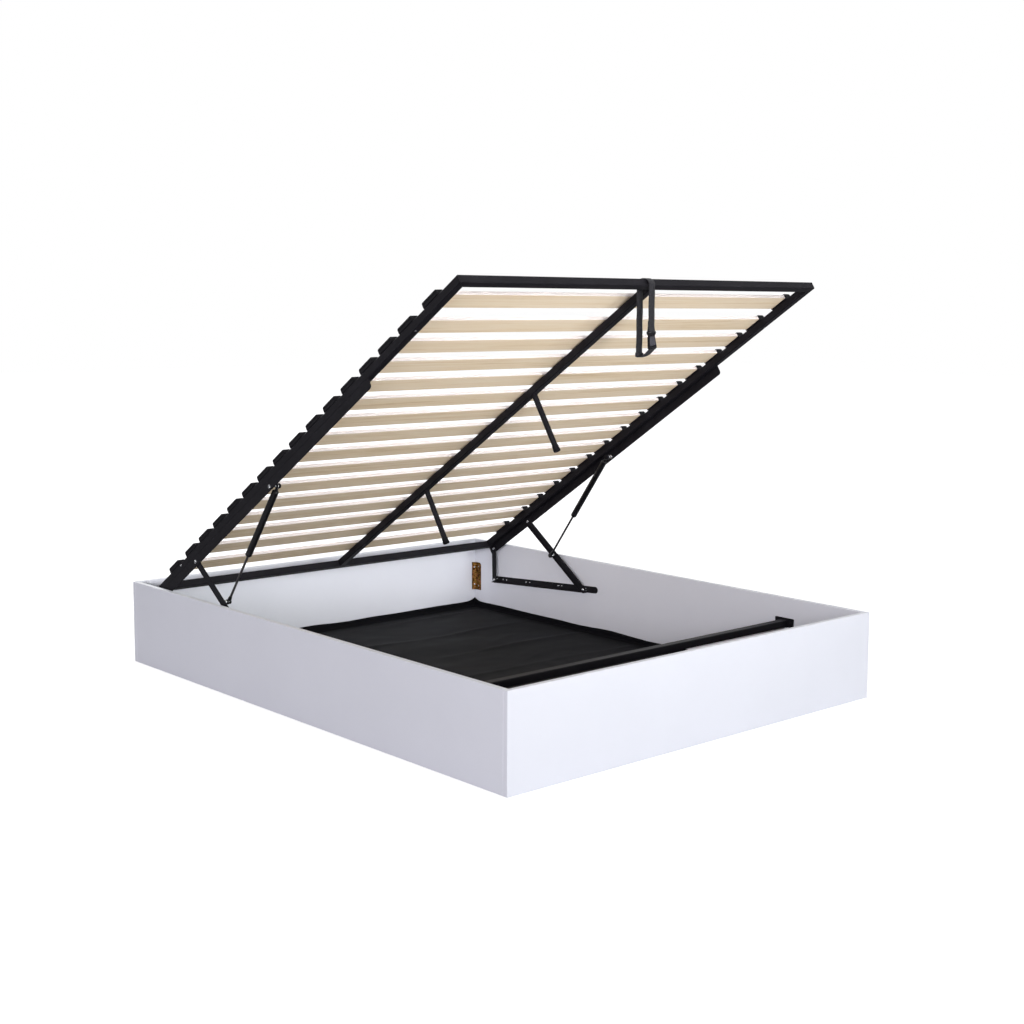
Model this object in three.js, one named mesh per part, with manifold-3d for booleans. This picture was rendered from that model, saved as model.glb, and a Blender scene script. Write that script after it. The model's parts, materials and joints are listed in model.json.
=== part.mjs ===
// Storage bed: a slat platform that lifts off a low box of four boards.
// Millimetres. The origin is on the floor under the middle of the box, +X is the right side seen
// from the foot end, +Y points to the head end and +Z is up. The platform is shown raised.

import * as THREE from 'three';
import { mergeVertices } from 'three/addons/utils/BufferGeometryUtils.js';
import Module from 'manifold-3d';

const wasm = await Module();
wasm.setup();

// Platform frame: square steel tube, the size of the mattress
const platformWidth = 1500;
const platformLength = 2000;
const frameTube = 25;
const frameTubeWall = 1.5;
const ventRadius = 3;
const openTilt = THREE.MathUtils.degToRad(32.8);

// Box of boards round the platform
const boardThickness = 18;
const boardHeight = 290;
const sideClearance = 17;
const headClearance = 9;
const footClearance = 15;
const mattressRecess = 52;

// Gaps between pieces
const seatGap = 0.3;
const mitreRetreat = 0.25;

// Corner plates: folded steel that joins the boards
const cornerPlateBottom = 75;
const cornerPlateHeight = 117;
const cornerPlateLongLeg = 41;
const cornerPlateShortLeg = 17;
const cornerPlateSheet = 2.5;
const cornerPlateAcross = 12;
const cornerPlateRounding = 12;
const cornerHoleRadius = 2.5;
const cornerHoleInset = 18;

// Cross bar that the shut platform rests on
const crossBarFromFoot = 328;
const crossBarWidth = 30;
const crossBarDepth = 25;
const crossBarWall = 1.5;
const crossBarRestGap = 0.4;
const crossBarPlateWidth = 82;
const crossBarPlateHeight = 32;
const crossBarPlateSheet = 3;

// Fabric liner on the floor inside the box
const linerThickness = 3;
const linerRim = 32;

// Lift arm: flat bar under the outer edge of each side tube
const armThickness = 3;
const armDepth = 30;
const armLength = 1495;
const armCornerRadius = 10;

// Pivots: distances along the platform from its head end, and depths below its top
const armPivotDepth = 40;
const rearArmPivot = 29;
const frontArmPivot = 283;
const strutArmPivot = 851;
const strutArmPivotDepth = 45;
const rearBasePivotFromHead = 156;
const rearBasePivotDepth = 100;
const frontBasePivotFromHead = 697;
const frontBasePivotDepth = 64;
const strutPivotOnLink = 204;

// Base bar: steel angle screwed to each side board
const baseBarHeight = 26;
const baseBarReach = 16;
const baseBarSheet = 3;
const baseBarPastRear = 29;
const baseBarPastFront = 60;

// Links
const linkThickness = 4;
const frontLinkWidth = 26;
const frontLinkLip = 6;
const frontLinkLipSheet = 2;
const rearLinkWidth = 24;

// Pins and rivets
const pinRadius = 4.2;
const pinHoleRadius = 4.5;
const pinShoulderRadius = 7;
const rivetHeadRadius = 6.5;
const rivetHeadHeight = 2.7;

// Gas struts
const strutInboard = 28;
const cylinderRadius = 11;
const cylinderBore = 9;
const cylinderLength = 290;
const cylinderEndWall = 6;
const strutEndNeck = 20;
const rodRadius = 4;
const glandRadius = 4.4;
const pistonRadius = 8.6;
const pistonLength = 10;
const pistonFromGland = 11;
const socketRadius = 8.5;
const socketWidth = 15;
const socketFloor = 2;
const ballRadius = 5;
const ballClearance = 0.5;
const studNeckRadius = 3.5;
const studCollarThickness = 5;
const studNutRadius = 7;
const studNutHeight = 5.7;

// Slats and their holders
const slatWidth = 68;
const slatThickness = 12;
const slatHeight = 3.3;
const slatIntoHolder = 15;
const endSlatInset = 138;
const innerSlatInset = 272;
const innerSlatCount = 14;
const holderLength = 74;
const holderHeight = 18.5;
const holderProud = 1;
const holderInboard = 3;
const holderChamfer = 4;
const holderBeak = 14;
const holderBeakLength = 40;
const holderSunk = 0.5;

// Centre legs
const headLegFromHead = 655;
const footLegFromHead = 1343;
const legRadius = 9.5;
const legWall = 1.5;
const legCollarRadius = 11;
const legCollarHeight = 12;
const legFootRadius = 12;
const legFootHeight = 9;
const legFloorGap = 0.5;

// Pull strap and its side-release buckle
const strapWidth = 25;
const strapThickness = 2;
const strapOffCentre = -30;
const strapEyeGap = 1;
const strapDrop = 217;
const strapFoldRadius = 3;
const buckleTop = 140;
const buckleBottom = 191;
const buckleWidth = 31;
const buckleThickness = 11;
const buckleSplit = 26;
const buckleWall = 2;
const buckleSlotDepth = 7;
const prongLength = 16;
const prongWidth = 5;
const tongueThickness = 6;

// How round turned and rounded shapes are
const turnedSides = 12;
const arcSteps = 5;

// Sizes that follow from those above
const innerWidth = platformWidth + 2 * sideClearance;
const innerLength = platformLength + headClearance + footClearance;
const outerWidth = innerWidth + 2 * boardThickness;
const boardFaceX = innerWidth / 2;
const headFaceY = innerLength / 2;
const shutTop = boardHeight - mattressRecess;
const tubeOuterX = platformWidth / 2;
const tubeInnerX = tubeOuterX - frameTube;
const armInnerX = tubeOuterX - armThickness;
const linkOuterX = armInnerX - seatGap;
const linkInnerX = linkOuterX - linkThickness;
const baseBarFaceX = boardFaceX - baseBarSheet;
const strutX = tubeOuterX - strutInboard;

const finishes = {
  whiteBoard: { color: 0xeeeef6, roughness: 0.45, metalness: 0 },
  blackSteel: { color: 0x1c1b1e, roughness: 0.5, metalness: 0.3 },
  zincSteel: { color: 0xc9cbcf, roughness: 0.3, metalness: 0.9 },
  yellowZinc: { color: 0x9a6a34, roughness: 0.4, metalness: 0.8 },
  birch: { color: 0xd8c9ae, roughness: 0.6, metalness: 0 },
  liner: { color: 0x1e1e21, roughness: 0.95, metalness: 0 },
  webbing: { color: 0x333338, roughness: 0.9, metalness: 0 },
  blackPlastic: { color: 0x161618, roughness: 0.45, metalness: 0 },
};

// Geometry with shared corners only, without the triangles that close to a line on an axis
function bare(geometry) {
  const copy = geometry.clone();
  copy.deleteAttribute('normal');
  copy.deleteAttribute('uv');
  const merged = mergeVertices(copy, 1e-4);
  const corners = merged.index.array;
  const kept = [];
  for (let i = 0; i < corners.length; i += 3) {
    const [a, b, c] = corners.slice(i, i + 3);
    if (a !== b && b !== c && c !== a) kept.push(a, b, c);
  }
  merged.setIndex(kept);
  return merged;
}

function toSolid(geometry) {
  const plain = bare(geometry);
  return new wasm.Manifold(new wasm.Mesh({
    numProp: 3,
    vertProperties: new Float32Array(plain.attributes.position.array),
    triVerts: new Uint32Array(plain.index.array),
  }));
}

function toGeometry(solid) {
  const mesh = solid.getMesh();
  const geometry = new THREE.BufferGeometry();
  geometry.setAttribute('position', new THREE.BufferAttribute(mesh.vertProperties, 3));
  geometry.setIndex(new THREE.BufferAttribute(mesh.triVerts, 1));
  return geometry;
}

function fuse(...geometries) {
  return toGeometry(geometries.map(toSolid).reduce((whole, piece) => whole.add(piece)));
}

function cut(geometry, ...tools) {
  return toGeometry(tools.map(toSolid).reduce((rest, tool) => rest.subtract(tool), toSolid(geometry)));
}

// Mirrors a piece across X or Y, with its faces still pointing out
function mirrored(geometry, x, y = 1) {
  const copy = bare(geometry).scale(x, y, 1);
  if (x * y < 0) copy.setIndex(Array.from(copy.index.array).reverse());
  return copy;
}

function block(x0, x1, y0, y1, z0, z1) {
  const geometry = new THREE.BoxGeometry(x1 - x0, y1 - y0, z1 - z0);
  return geometry.translate((x0 + x1) / 2, (y0 + y1) / 2, (z0 + z1) / 2);
}

// A flat outline in Y and Z, made thick along X
function plateAcrossX(outline, x0, x1) {
  const geometry = new THREE.ExtrudeGeometry(outline, {
    depth: x1 - x0,
    bevelEnabled: false,
    curveSegments: arcSteps,
  });
  const axes = new THREE.Matrix4().makeBasis(
    new THREE.Vector3(0, 1, 0),
    new THREE.Vector3(0, 0, 1),
    new THREE.Vector3(1, 0, 0),
  );
  return geometry.applyMatrix4(axes).translate(x0, 0, 0);
}

// A turned piece on an axis along X through y, z; its profile is pairs of radius and x
function turnedAlongX(profile, y = 0, z = 0) {
  const points = profile.map(([radius, x]) => new THREE.Vector2(radius, x));
  return new THREE.LatheGeometry(points, turnedSides).rotateZ(-Math.PI / 2).translate(0, y, z);
}

function rodAlongX(x0, x1, y, z, radius) {
  return turnedAlongX([[0, x0], [radius, x0], [radius, x1], [0, x1]], y, z);
}

function roundHole(y, z, radius) {
  return new THREE.Path().absarc(y, z, radius, 0, 2 * Math.PI, true);
}

// A bar outline with round ends from y0 to y1, about the line z = 0
function roundEndedBar(y0, y1, width) {
  const outline = new THREE.Shape();
  outline.absarc(y1, 0, width / 2, -Math.PI / 2, Math.PI / 2, false);
  outline.absarc(y0, 0, width / 2, Math.PI / 2, 1.5 * Math.PI, false);
  return outline;
}

function addPiece(group, name, geometry, finish) {
  const mesh = new THREE.Mesh(bare(geometry), new THREE.MeshStandardMaterial(finishes[finish]));
  mesh.name = name;
  group.add(mesh);
}

// Where a point of the platform lies in the bed's Y and Z, as x and y of a Vector2
function platformPoint(fromHead, depth, tilt, headEnd) {
  return new THREE.Vector2(
    headEnd.x - fromHead * Math.cos(tilt) - depth * Math.sin(tilt),
    headEnd.y + fromHead * Math.sin(tilt) - depth * Math.cos(tilt),
  );
}

// The upper of the two points where two circles meet
function upperMeeting(centreA, radiusA, centreB, radiusB) {
  const between = centreB.clone().sub(centreA);
  const distance = between.length();
  const along = (distance ** 2 + radiusA ** 2 - radiusB ** 2) / (2 * distance);
  const aside = Math.sqrt(radiusA ** 2 - along ** 2);
  const direction = between.normalize();
  const foot = centreA.clone().addScaledVector(direction, along);
  const across = new THREE.Vector2(-direction.y, direction.x);
  if (across.y < 0) across.negate();
  return foot.addScaledVector(across, aside);
}

// The lift linkage: link lengths come from the shut platform, which lies flat, and the raised
// platform then stands where both links reach their pivots at the open tilt
function solveLinkage() {
  const rearBase = new THREE.Vector2(headFaceY - rearBasePivotFromHead, shutTop - rearBasePivotDepth);
  const frontBase = new THREE.Vector2(headFaceY - frontBasePivotFromHead, shutTop - frontBasePivotDepth);
  const shutHead = new THREE.Vector2(headFaceY - headClearance, shutTop);
  const rearLength = platformPoint(rearArmPivot, armPivotDepth, 0, shutHead).distanceTo(rearBase);
  const frontLength = platformPoint(frontArmPivot, armPivotDepth, 0, shutHead).distanceTo(frontBase);
  const origin = new THREE.Vector2();
  const rearOffset = platformPoint(rearArmPivot, armPivotDepth, openTilt, origin);
  const frontOffset = platformPoint(frontArmPivot, armPivotDepth, openTilt, origin);
  const frontCentre = frontBase.clone().sub(frontOffset).add(rearOffset);
  const rearArm = upperMeeting(rearBase, rearLength, frontCentre, frontLength);
  const head = rearArm.clone().sub(rearOffset);
  const frontArm = head.clone().add(frontOffset);
  const frontAngle = frontArm.clone().sub(frontBase).angle();
  const rearAngle = rearArm.clone().sub(rearBase).angle();
  const strutFoot = frontBase.clone().lerp(frontArm, strutPivotOnLink / frontLength);
  const strutTop = platformPoint(strutArmPivot, strutArmPivotDepth, openTilt, head);
  const strut = strutTop.clone().sub(strutFoot);
  return {
    rearBase, frontBase, rearLength, frontLength, head, rearArm, frontArm, frontAngle, rearAngle,
    strutFoot, strutLength: strut.length(), strutAngle: strut.angle(),
  };
}

const linkage = solveLinkage();

// A group whose +Y runs along a link from its base point
function groupAlong(point, angle) {
  const group = new THREE.Group();
  group.position.set(0, point.x, point.y);
  group.rotation.x = angle;
  return group;
}

function makeBoards(bed) {
  const outerY = headFaceY + boardThickness;
  const outerX = outerWidth / 2;
  addPiece(bed, 'head_board', block(-outerX, outerX, headFaceY, outerY, 0, boardHeight), 'whiteBoard');
  addPiece(bed, 'foot_board', block(-outerX, outerX, -outerY, -headFaceY, 0, boardHeight), 'whiteBoard');
  const sideBoard = block(boardFaceX, outerX, -headFaceY, headFaceY, 0, boardHeight);
  addPiece(bed, 'side_board_right', sideBoard, 'whiteBoard');
  addPiece(bed, 'side_board_left', mirrored(sideBoard, -1), 'whiteBoard');
}

// The plate at the head end on the right: a long leg on the side board, a short one on the head
// board and a face across the corner between them
function cornerPlate() {
  const sheet = cornerPlateSheet;
  const across = cornerPlateAcross;
  const bend = across + sheet * Math.tan(Math.PI / 8);
  const near = headFaceY - cornerPlateLongLeg;
  const shortEnd = boardFaceX - cornerPlateShortLeg;
  const plan = new THREE.Shape([
    new THREE.Vector2(boardFaceX, near),
    new THREE.Vector2(boardFaceX, headFaceY - across),
    new THREE.Vector2(boardFaceX - across, headFaceY),
    new THREE.Vector2(shortEnd, headFaceY),
    new THREE.Vector2(shortEnd, headFaceY - sheet),
    new THREE.Vector2(boardFaceX - bend, headFaceY - sheet),
    new THREE.Vector2(boardFaceX - sheet, headFaceY - bend),
    new THREE.Vector2(boardFaceX - sheet, near),
  ]);
  const folded = new THREE.ExtrudeGeometry(plan, { depth: cornerPlateHeight, bevelEnabled: false });
  folded.translate(0, 0, cornerPlateBottom);
  const top = cornerPlateBottom + cornerPlateHeight;
  const rounding = cornerPlateRounding;
  const waste = new THREE.Shape();
  waste.moveTo(near, top - rounding);
  waste.absarc(near + rounding, top - rounding, rounding, Math.PI, Math.PI / 2, true);
  waste.lineTo(near + rounding, top + 1);
  waste.lineTo(near - 1, top + 1);
  waste.lineTo(near - 1, top - rounding);
  const inside = boardFaceX - sheet - 1;
  const outside = boardFaceX + 1;
  const holeY = (near + headFaceY - bend) / 2;
  const holes = [cornerPlateBottom + cornerHoleInset, top - cornerHoleInset].map(
    (z) => rodAlongX(inside, outside, holeY, z, cornerHoleRadius),
  );
  return cut(folded, plateAcrossX(waste, inside, outside), ...holes);
}

function makeCornerPlates(bed) {
  const plate = cornerPlate();
  for (const [end, y] of [['head', 1], ['foot', -1]]) {
    for (const [side, x] of [['right', 1], ['left', -1]]) {
      addPiece(bed, `corner_plate_${end}_${side}`, mirrored(plate, x, y), 'yellowZinc');
    }
  }
}

function makeCrossBar(bed) {
  const middleY = -headFaceY + crossBarFromFoot;
  const top = shutTop - frameTube - crossBarRestGap;
  const middleZ = top - crossBarDepth / 2;
  const tubeEnd = boardFaceX - crossBarPlateSheet;
  const section = (inset) => block(
    -tubeEnd + inset, tubeEnd - inset,
    middleY - crossBarWidth / 2 + inset, middleY + crossBarWidth / 2 - inset,
    middleZ - crossBarDepth / 2 + inset, middleZ + crossBarDepth / 2 - inset,
  );
  const vent = new THREE.CylinderGeometry(ventRadius, ventRadius, crossBarDepth, turnedSides);
  vent.rotateX(Math.PI / 2).translate(0, middleY, middleZ - crossBarDepth / 2);
  const plateZ = shutTop - frameTube - crossBarPlateHeight / 2 + crossBarPlateHeight / 5;
  const plate = block(
    tubeEnd - crossBarWall, boardFaceX,
    middleY - crossBarPlateWidth / 2, middleY + crossBarPlateWidth / 2,
    plateZ - crossBarPlateHeight / 2, plateZ + crossBarPlateHeight / 2,
  );
  const whole = fuse(section(0), plate, mirrored(plate, -1));
  addPiece(bed, 'cross_bar', cut(whole, section(crossBarWall), vent), 'blackSteel');
}

// A shallow tray of fabric, its edge turned up against the boards
function makeLiner(bed) {
  const x = boardFaceX - seatGap;
  const y = headFaceY - seatGap;
  const sheet = block(-x, x, -y, y, 0, linerRim);
  const inside = block(
    -x + linerThickness, x - linerThickness,
    -y + linerThickness, y - linerThickness,
    linerThickness, 2 * linerRim,
  );
  addPiece(bed, 'floor_liner', cut(sheet, inside), 'liner');
}

// Base bars lie along the line from the front base pivot to the rear one
function makeHingeBases(bed) {
  const line = linkage.rearBase.clone().sub(linkage.frontBase);
  const span = line.length();
  const group = groupAlong(linkage.frontBase, line.angle());
  const half = baseBarHeight / 2;
  const outline = new THREE.Shape();
  outline.absarc(-baseBarPastFront + half, 0, half, Math.PI / 2, 1.5 * Math.PI, false);
  outline.lineTo(span + baseBarPastRear, -half);
  outline.lineTo(span + baseBarPastRear, half);
  outline.holes.push(roundHole(0, 0, pinHoleRadius), roundHole(span, 0, pinHoleRadius));
  outline.holes.push(roundHole(-baseBarPastFront + half, 0, pinHoleRadius));
  const upright = plateAcrossX(outline, baseBarFaceX, boardFaceX);
  const foot = block(boardFaceX - baseBarReach, boardFaceX, 0, span + baseBarPastRear, -half, -half + baseBarSheet);
  const bar = fuse(upright, foot);
  addPiece(group, 'hinge_base_right', bar, 'blackSteel');
  addPiece(group, 'hinge_base_left', mirrored(bar, -1), 'blackSteel');
  bed.add(group);
}

// A pin fixed in the base bar, with a shoulder that reaches to the link
function basePin(throughLink) {
  const profile = [
    [0, linkOuterX + seatGap],
    [pinShoulderRadius, linkOuterX + seatGap],
    [pinShoulderRadius, baseBarFaceX - seatGap],
    [pinRadius, baseBarFaceX - seatGap],
    [pinRadius, boardFaceX - seatGap],
    [0, boardFaceX - seatGap],
  ];
  if (!throughLink) return turnedAlongX(profile);
  const headEnd = linkInnerX - seatGap - rivetHeadHeight;
  profile[0] = [pinRadius, linkOuterX + seatGap];
  return turnedAlongX([
    [0, headEnd],
    [rivetHeadRadius - 1, headEnd],
    [rivetHeadRadius, headEnd + 1],
    [rivetHeadRadius, linkInnerX - seatGap],
    [pinRadius, linkInnerX - seatGap],
    ...profile,
  ]);
}

function makeBasePins(bed) {
  const pins = [['rear_pivot', linkage.rearBase, false], ['front_pivot', linkage.frontBase, true]];
  for (const [name, place, throughLink] of pins) {
    const pin = basePin(throughLink).translate(0, place.x, place.y);
    addPiece(bed, `${name}_right`, pin, 'zincSteel');
    addPiece(bed, `${name}_left`, mirrored(pin, -1), 'zincSteel');
  }
}

// A rivet through a link and the lift arm, domed on the outside
function armRivet() {
  const innerEnd = linkInnerX - seatGap - rivetHeadHeight;
  const outerFace = tubeOuterX + seatGap;
  return turnedAlongX([
    [0, innerEnd],
    [rivetHeadRadius - 1, innerEnd],
    [rivetHeadRadius, innerEnd + 1],
    [rivetHeadRadius, linkInnerX - seatGap],
    [pinRadius, linkInnerX - seatGap],
    [pinRadius, outerFace],
    [rivetHeadRadius, outerFace],
    [rivetHeadRadius, outerFace + 1],
    [rivetHeadRadius - 2, outerFace + rivetHeadHeight],
    [0, outerFace + rivetHeadHeight],
  ]);
}

function makeFrontLinks(bed) {
  const outline = roundEndedBar(0, linkage.frontLength, frontLinkWidth);
  outline.holes.push(roundHole(0, 0, pinHoleRadius), roundHole(linkage.frontLength, 0, pinHoleRadius));
  const plate = plateAcrossX(outline, linkInnerX, linkOuterX);
  const edge = -frontLinkWidth / 2;
  const lip = block(linkInnerX - frontLinkLip, linkOuterX, 0, linkage.frontLength, edge, edge + frontLinkLipSheet);
  const link = fuse(plate, lip);
  const rivet = armRivet().translate(0, linkage.frontLength, 0);
  const group = groupAlong(linkage.frontBase, linkage.frontAngle);
  for (const [side, x] of [['right', 1], ['left', -1]]) {
    addPiece(group, `front_link_${side}`, mirrored(link, x), 'blackSteel');
    addPiece(group, `front_rivet_${side}`, mirrored(rivet, x), 'zincSteel');
  }
  bed.add(group);
}

// The rear link's lower end carries its own rivet head, because that pivot is the open one
function makeRearLinks(bed) {
  const outline = roundEndedBar(0, linkage.rearLength, rearLinkWidth);
  outline.holes.push(roundHole(linkage.rearLength, 0, pinHoleRadius));
  const plate = plateAcrossX(outline, linkInnerX, linkOuterX);
  const head = rodAlongX(linkInnerX - rivetHeadHeight, linkOuterX, 0, 0, rivetHeadRadius);
  const link = fuse(plate, head);
  const rivet = armRivet().translate(0, linkage.rearLength, 0);
  const group = groupAlong(linkage.rearBase, linkage.rearAngle);
  for (const [side, x] of [['right', 1], ['left', -1]]) {
    addPiece(group, `rear_link_${side}`, mirrored(link, x), 'blackSteel');
    addPiece(group, `rear_rivet_${side}`, mirrored(rivet, x), 'zincSteel');
  }
  bed.add(group);
}

// A tube with mitred, welded ends and a vent: its outer face is y = 0, its top is z = 0
function mitredTube(length) {
  const prism = (inset) => {
    const endInset = mitreRetreat + inset * (1 + Math.SQRT2);
    const innerEnd = length / 2 - endInset - (frameTube - 2 * inset);
    const outline = new THREE.Shape([
      new THREE.Vector2(-length / 2 + endInset, -inset),
      new THREE.Vector2(-innerEnd, -frameTube + inset),
      new THREE.Vector2(innerEnd, -frameTube + inset),
      new THREE.Vector2(length / 2 - endInset, -inset),
    ]);
    const depth = frameTube - 2 * inset;
    const geometry = new THREE.ExtrudeGeometry(outline, { depth, bevelEnabled: false });
    return geometry.translate(0, 0, -frameTube + inset);
  };
  const vent = new THREE.CylinderGeometry(ventRadius, ventRadius, frameTube, turnedSides);
  vent.rotateX(Math.PI / 2).translate(length / 4, -frameTube / 2, -frameTube);
  return cut(prism(0), prism(frameTubeWall), vent);
}

// Slat centres from the head end: an end slat at each end and an even row between
function slatPlaces() {
  const pitch = (platformLength - 2 * innerSlatInset) / (innerSlatCount - 1);
  const places = [endSlatInset];
  for (let i = 0; i < innerSlatCount; i++) places.push(innerSlatInset + i * pitch);
  places.push(platformLength - endSlatInset);
  return places;
}

function slatEndX() {
  return tubeInnerX + slatIntoHolder;
}

// A holder on the right side tube, its pocket open towards the slat
function slatHolder() {
  const half = holderLength / 2;
  const outline = new THREE.Shape([
    new THREE.Vector2(-half, -holderSunk),
    new THREE.Vector2(half, -holderSunk),
    new THREE.Vector2(half, holderHeight - holderChamfer),
    new THREE.Vector2(half - holderChamfer, holderHeight),
    new THREE.Vector2(-half + holderChamfer, holderHeight),
    new THREE.Vector2(-half, holderHeight - holderChamfer),
  ]);
  const body = plateAcrossX(outline, tubeInnerX - holderInboard, tubeOuterX + holderProud);
  const pocketFloor = slatHeight - seatGap;
  const pocketRoof = slatHeight + slatThickness + 3 * seatGap;
  const beakFloor = pocketRoof + seatGap;
  const beakEnd = tubeInnerX - holderInboard - holderBeak;
  const beak = block(beakEnd, tubeInnerX, -holderBeakLength / 2, holderBeakLength / 2, beakFloor, holderHeight);
  const pocket = block(
    beakEnd - 1, slatEndX() + seatGap,
    -slatWidth / 2 - seatGap, slatWidth / 2 + seatGap,
    pocketFloor, pocketRoof,
  );
  return cut(fuse(body, beak), pocket);
}

function makeSideTubes(platform) {
  const tube = mitredTube(platformLength).rotateZ(-Math.PI / 2).translate(tubeOuterX, -platformLength / 2, 0);
  const holder = slatHolder();
  const holders = slatPlaces().map((place) => holder.clone().translate(0, -place, 0));
  const rail = fuse(tube, ...holders);
  addPiece(platform, 'side_rail_right', rail, 'blackSteel');
  addPiece(platform, 'side_rail_left', mirrored(rail, -1), 'blackSteel');
}

function makeEndTubes(platform) {
  const tube = mitredTube(platformWidth);
  addPiece(platform, 'head_rail', tube, 'blackSteel');
  const footTube = tube.clone().rotateZ(Math.PI).translate(0, -platformLength, 0);
  addPiece(platform, 'foot_rail', footTube, 'blackSteel');
}

function makeCentreRail(platform) {
  const half = frameTube / 2;
  const end = frameTube + seatGap;
  const outside = block(-half, half, -platformLength + end, -end, -frameTube, 0);
  const inside = block(
    -half + frameTubeWall, half - frameTubeWall,
    -platformLength, 0,
    -frameTube + frameTubeWall, -frameTubeWall,
  );
  addPiece(platform, 'centre_rail', cut(outside, inside), 'blackSteel');
}

function makeLiftArms(platform) {
  const top = -frameTube - seatGap;
  const bottom = top - armDepth;
  const outline = new THREE.Shape();
  outline.moveTo(0, top);
  outline.lineTo(-armLength, top);
  outline.absarc(-armLength + armCornerRadius, bottom + armCornerRadius, armCornerRadius, Math.PI, 1.5 * Math.PI, false);
  outline.absarc(-armCornerRadius, bottom + armCornerRadius, armCornerRadius, -Math.PI / 2, 0, false);
  outline.holes.push(
    roundHole(-rearArmPivot, -armPivotDepth, pinHoleRadius),
    roundHole(-frontArmPivot, -armPivotDepth, pinHoleRadius),
    roundHole(-strutArmPivot, -strutArmPivotDepth, pinHoleRadius),
  );
  const arm = plateAcrossX(outline, armInnerX, tubeOuterX);
  addPiece(platform, 'lift_arm_right', arm, 'blackSteel');
  addPiece(platform, 'lift_arm_left', mirrored(arm, -1), 'blackSteel');
}

// Legs under the centre rail reach down to just above the liner when the platform is shut
function makeCentreLegs(platform) {
  const top = -frameTube - seatGap;
  const bottom = -shutTop + linerThickness + legFloorGap;
  const footTop = bottom + legFootHeight;
  const collarTop = footTop + legCollarHeight;
  const profile = [
    [0, bottom],
    [legFootRadius, bottom],
    [legFootRadius, footTop],
    [legCollarRadius, footTop],
    [legCollarRadius, collarTop],
    [legRadius, collarTop],
    [legRadius, top],
    [legRadius - legWall, top],
    [legRadius - legWall, collarTop],
    [0, collarTop],
  ];
  const points = profile.map(([radius, z]) => new THREE.Vector2(radius, z));
  const leg = new THREE.LatheGeometry(points, turnedSides).rotateX(Math.PI / 2);
  const legs = [['centre_leg_head', headLegFromHead], ['centre_leg_foot', footLegFromHead]];
  for (const [name, place] of legs) {
    addPiece(platform, name, leg.clone().translate(0, -place, 0), 'blackSteel');
  }
}

// A flat slat that lies on the floors of its two holders
function makeSlats(platform) {
  const end = slatEndX();
  const half = slatWidth / 2;
  const slat = block(-end, end, -half, half, slatHeight, slatHeight + slatThickness);
  slatPlaces().forEach((place, i) => {
    const name = `slat_${String(i + 1).padStart(2, '0')}`;
    addPiece(platform, name, slat.clone().translate(0, -place, 0), 'birch');
  });
}

// The profile of a ball on its neck, as pairs of radius and x
function ballProfile(neckEnd) {
  const profile = [];
  const neckAngle = Math.asin(studNeckRadius / ballRadius);
  for (let i = 0; i < arcSteps; i++) {
    const angle = ((Math.PI - neckAngle) * i) / (arcSteps - 1);
    profile.push([ballRadius * Math.sin(angle), strutX - ballRadius * Math.cos(angle)]);
  }
  profile.push([studNeckRadius, neckEnd]);
  return profile;
}

// The upper ball stud is bolted through the lift arm
function makeUpperStuds(platform) {
  const collarEnd = armInnerX - seatGap;
  const nutFace = tubeOuterX + seatGap;
  const stud = turnedAlongX([
    ...ballProfile(collarEnd - studCollarThickness),
    [pinShoulderRadius, collarEnd - studCollarThickness],
    [pinShoulderRadius, collarEnd],
    [pinRadius, collarEnd],
    [pinRadius, nutFace],
    [studNutRadius, nutFace],
    [studNutRadius, nutFace + studNutHeight],
    [0, nutFace + studNutHeight],
  ], -strutArmPivot, -strutArmPivotDepth);
  addPiece(platform, 'upper_ball_stud_right', stud, 'zincSteel');
  addPiece(platform, 'upper_ball_stud_left', mirrored(stud, -1), 'zincSteel');
}

// The lower ball stud stops just short of the front link, because that pivot is an open one
function lowerStud() {
  const end = linkInnerX - seatGap;
  const collarEnd = linkInnerX - frontLinkLip - seatGap;
  return turnedAlongX([
    ...ballProfile(collarEnd - studCollarThickness),
    [pinShoulderRadius, collarEnd - studCollarThickness],
    [pinShoulderRadius, collarEnd],
    [pinRadius, collarEnd],
    [pinRadius, end],
    [0, end],
  ]);
}

// A ball socket at y on the strut's axis, open towards the lift arm
function ballSocket(y) {
  const inner = strutX - socketWidth / 2;
  const cup = rodAlongX(inner, inner + socketWidth, y, 0, socketRadius);
  const hollow = rodAlongX(inner + socketFloor, inner + socketWidth + 1, y, 0, ballRadius + ballClearance);
  return [cup, hollow];
}

function turnedAlongStrut(profile) {
  const points = profile.map(([radius, y]) => new THREE.Vector2(radius, y));
  return new THREE.LatheGeometry(points, turnedSides).translate(strutX, 0, 0);
}

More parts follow.
